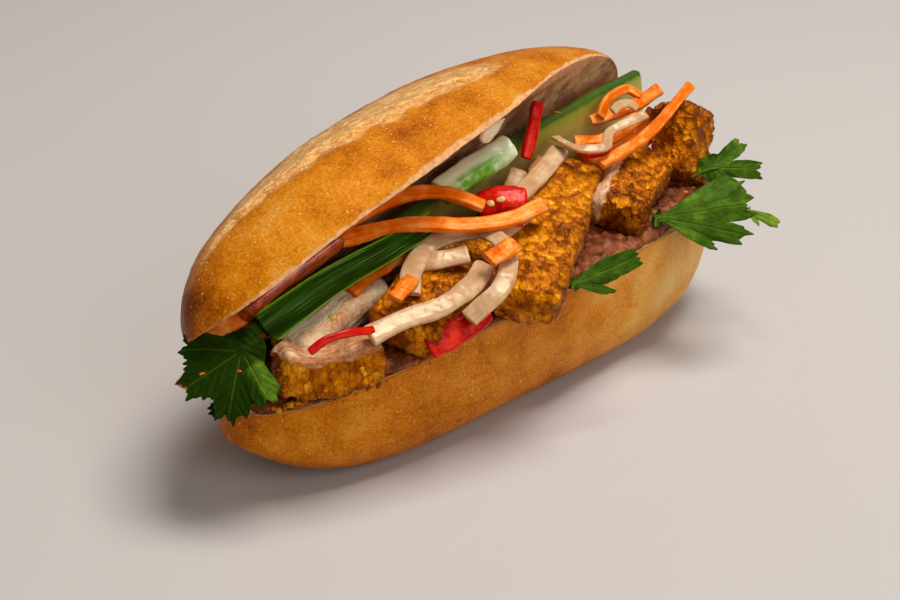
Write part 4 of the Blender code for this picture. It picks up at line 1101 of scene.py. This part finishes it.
def seedMaterial():
    material, tree, shader, place = startMaterial("chilliSeedShell", soft=(0.2, (1.0, 0.7, 0.3), 1),
                                                  Roughness=0.35)
    look = mixColours(tree, noiseOf(tree, place, 0.8, 3), looseBits["seedShell"], looseBits["seedShade"])
    feed(tree, shader, look)
    return material


def makeLooseBits():
    draw = np.random.default_rng(7)
    places = [(x, y) for x, y, size in looseBits["crumbs"]]
    sizes = [size for x, y, size in looseBits["crumbs"]]
    for begin, end, count in looseBits["lines"]:
        along = draw.uniform(0, 1, (count, 1))
        line = np.array(begin) * (1 - along) + np.array(end) * along
        places += list(line + draw.normal(0, looseBits["lineSpread"], (count, 2)))
        sizes += list(draw.uniform(*looseBits["small"], count))
    spots, facing, good = landings(places, ("breadRoll", "pate", "crumbedChicken"))
    lengths = np.array(sizes)[:, None] * draw.uniform(0.7, 1.1, (len(sizes), 3))
    one = np.ones(good.sum())
    addBits("looseCrumbs", spots[good], facing[good], lengths[good], 5, coating,
            {"crag": draw.uniform(0.2, 0.75, good.sum()), "coat": one, "pale": 0 * one, "fibre": 0.5 * one})
    spots, facing, good = landings(looseBits["seeds"], ("chilli", "crumbedChicken", "carrot"))
    lengths = np.array([looseBits["seedSize"]] * len(good))
    addBits("chilliSeeds", spots[good], facing[good], lengths[good], 6, seedMaterial(), {})
    spots, facing, good = landings([(x, y) for x, y, size in looseBits["flecks"]],
                                   ("breadRoll", "coriander", "crumbedChicken", "cucumber"))
    lengths = np.array([(size / 2, looseBits["fleckWidth"] / 2, looseBits["fleckThick"])
                        for x, y, size in looseBits["flecks"]])
    one = np.ones(good.sum())
    addBits("carrotFlecks", spots[good], facing[good], lengths[good], 8, carrotFlesh,
            {"grain": 0.4 * one, "bleached": 0 * one}, (0.75, -0.66, 0.1))


makeLooseBits()
print("loose bits done")


# Floor: wide, pale and matt, part of the stage.
floor = dict(pale="#C7BFB8", dull="#C4BCB5", reach=4)


def makeFloor():
    material, tree, shader, place = startMaterial("paleStudioFloor", Roughness=0.9, Specular_IOR_Level=0.2)
    look = mixColours(tree, noiseOf(tree, place, 300, 2), floor["pale"], floor["dull"])
    feed(tree, shader, look)
    mesh = bpy.data.meshes.new("floor")
    corners = np.array([(-1, -1, 0), (1, -1, 0), (1, 1, 0), (-1, 1, 0)], float) * floor["reach"]
    fillMesh(mesh, corners, np.array([[0, 1, 2, 3]]), np.zeros((0, 3), int))
    mesh.materials.append(material)
    plane = addObject("floor", mesh)


def addLamp(name, power, size, at):
    lamp = bpy.data.lights.new(name, "AREA")
    lamp.energy, lamp.size = power, size
    holder = addObject(name, lamp)
    holder.location = at
    way = np.array(light["aim"], float) - at
    holder.rotation_euler = (math.acos(-way[2] / np.linalg.norm(way)), 0, math.atan2(way[1], way[0]) - math.pi / 2)


def addCamera():
    a, e, back = cameraWay()
    data = bpy.data.cameras.new("camera")
    data.lens = camera["lens"]
    holder = addObject("camera", data)
    holder.location = np.array(camera["target"]) + back * camera["distance"]
    holder.rotation_euler = (math.pi / 2 - e, 0, a)
    bpy.context.scene.camera = holder


def addRoom():
    world = bpy.data.worlds.new("room")
    world.use_nodes = True
    world.node_tree.nodes["Background"].inputs["Color"].default_value = linear(light["room"])
    world.node_tree.nodes["Background"].inputs["Strength"].default_value = light["roomStrength"]
    bpy.context.scene.world = world
    bpy.context.scene.view_settings.view_transform = "Standard"


makeFloor()
addLamp("key", light["keyPower"], light["keySize"], light["keyAt"])
addLamp("fill", light["fillPower"], light["fillSize"], light["fillAt"])
addRoom()
addCamera()
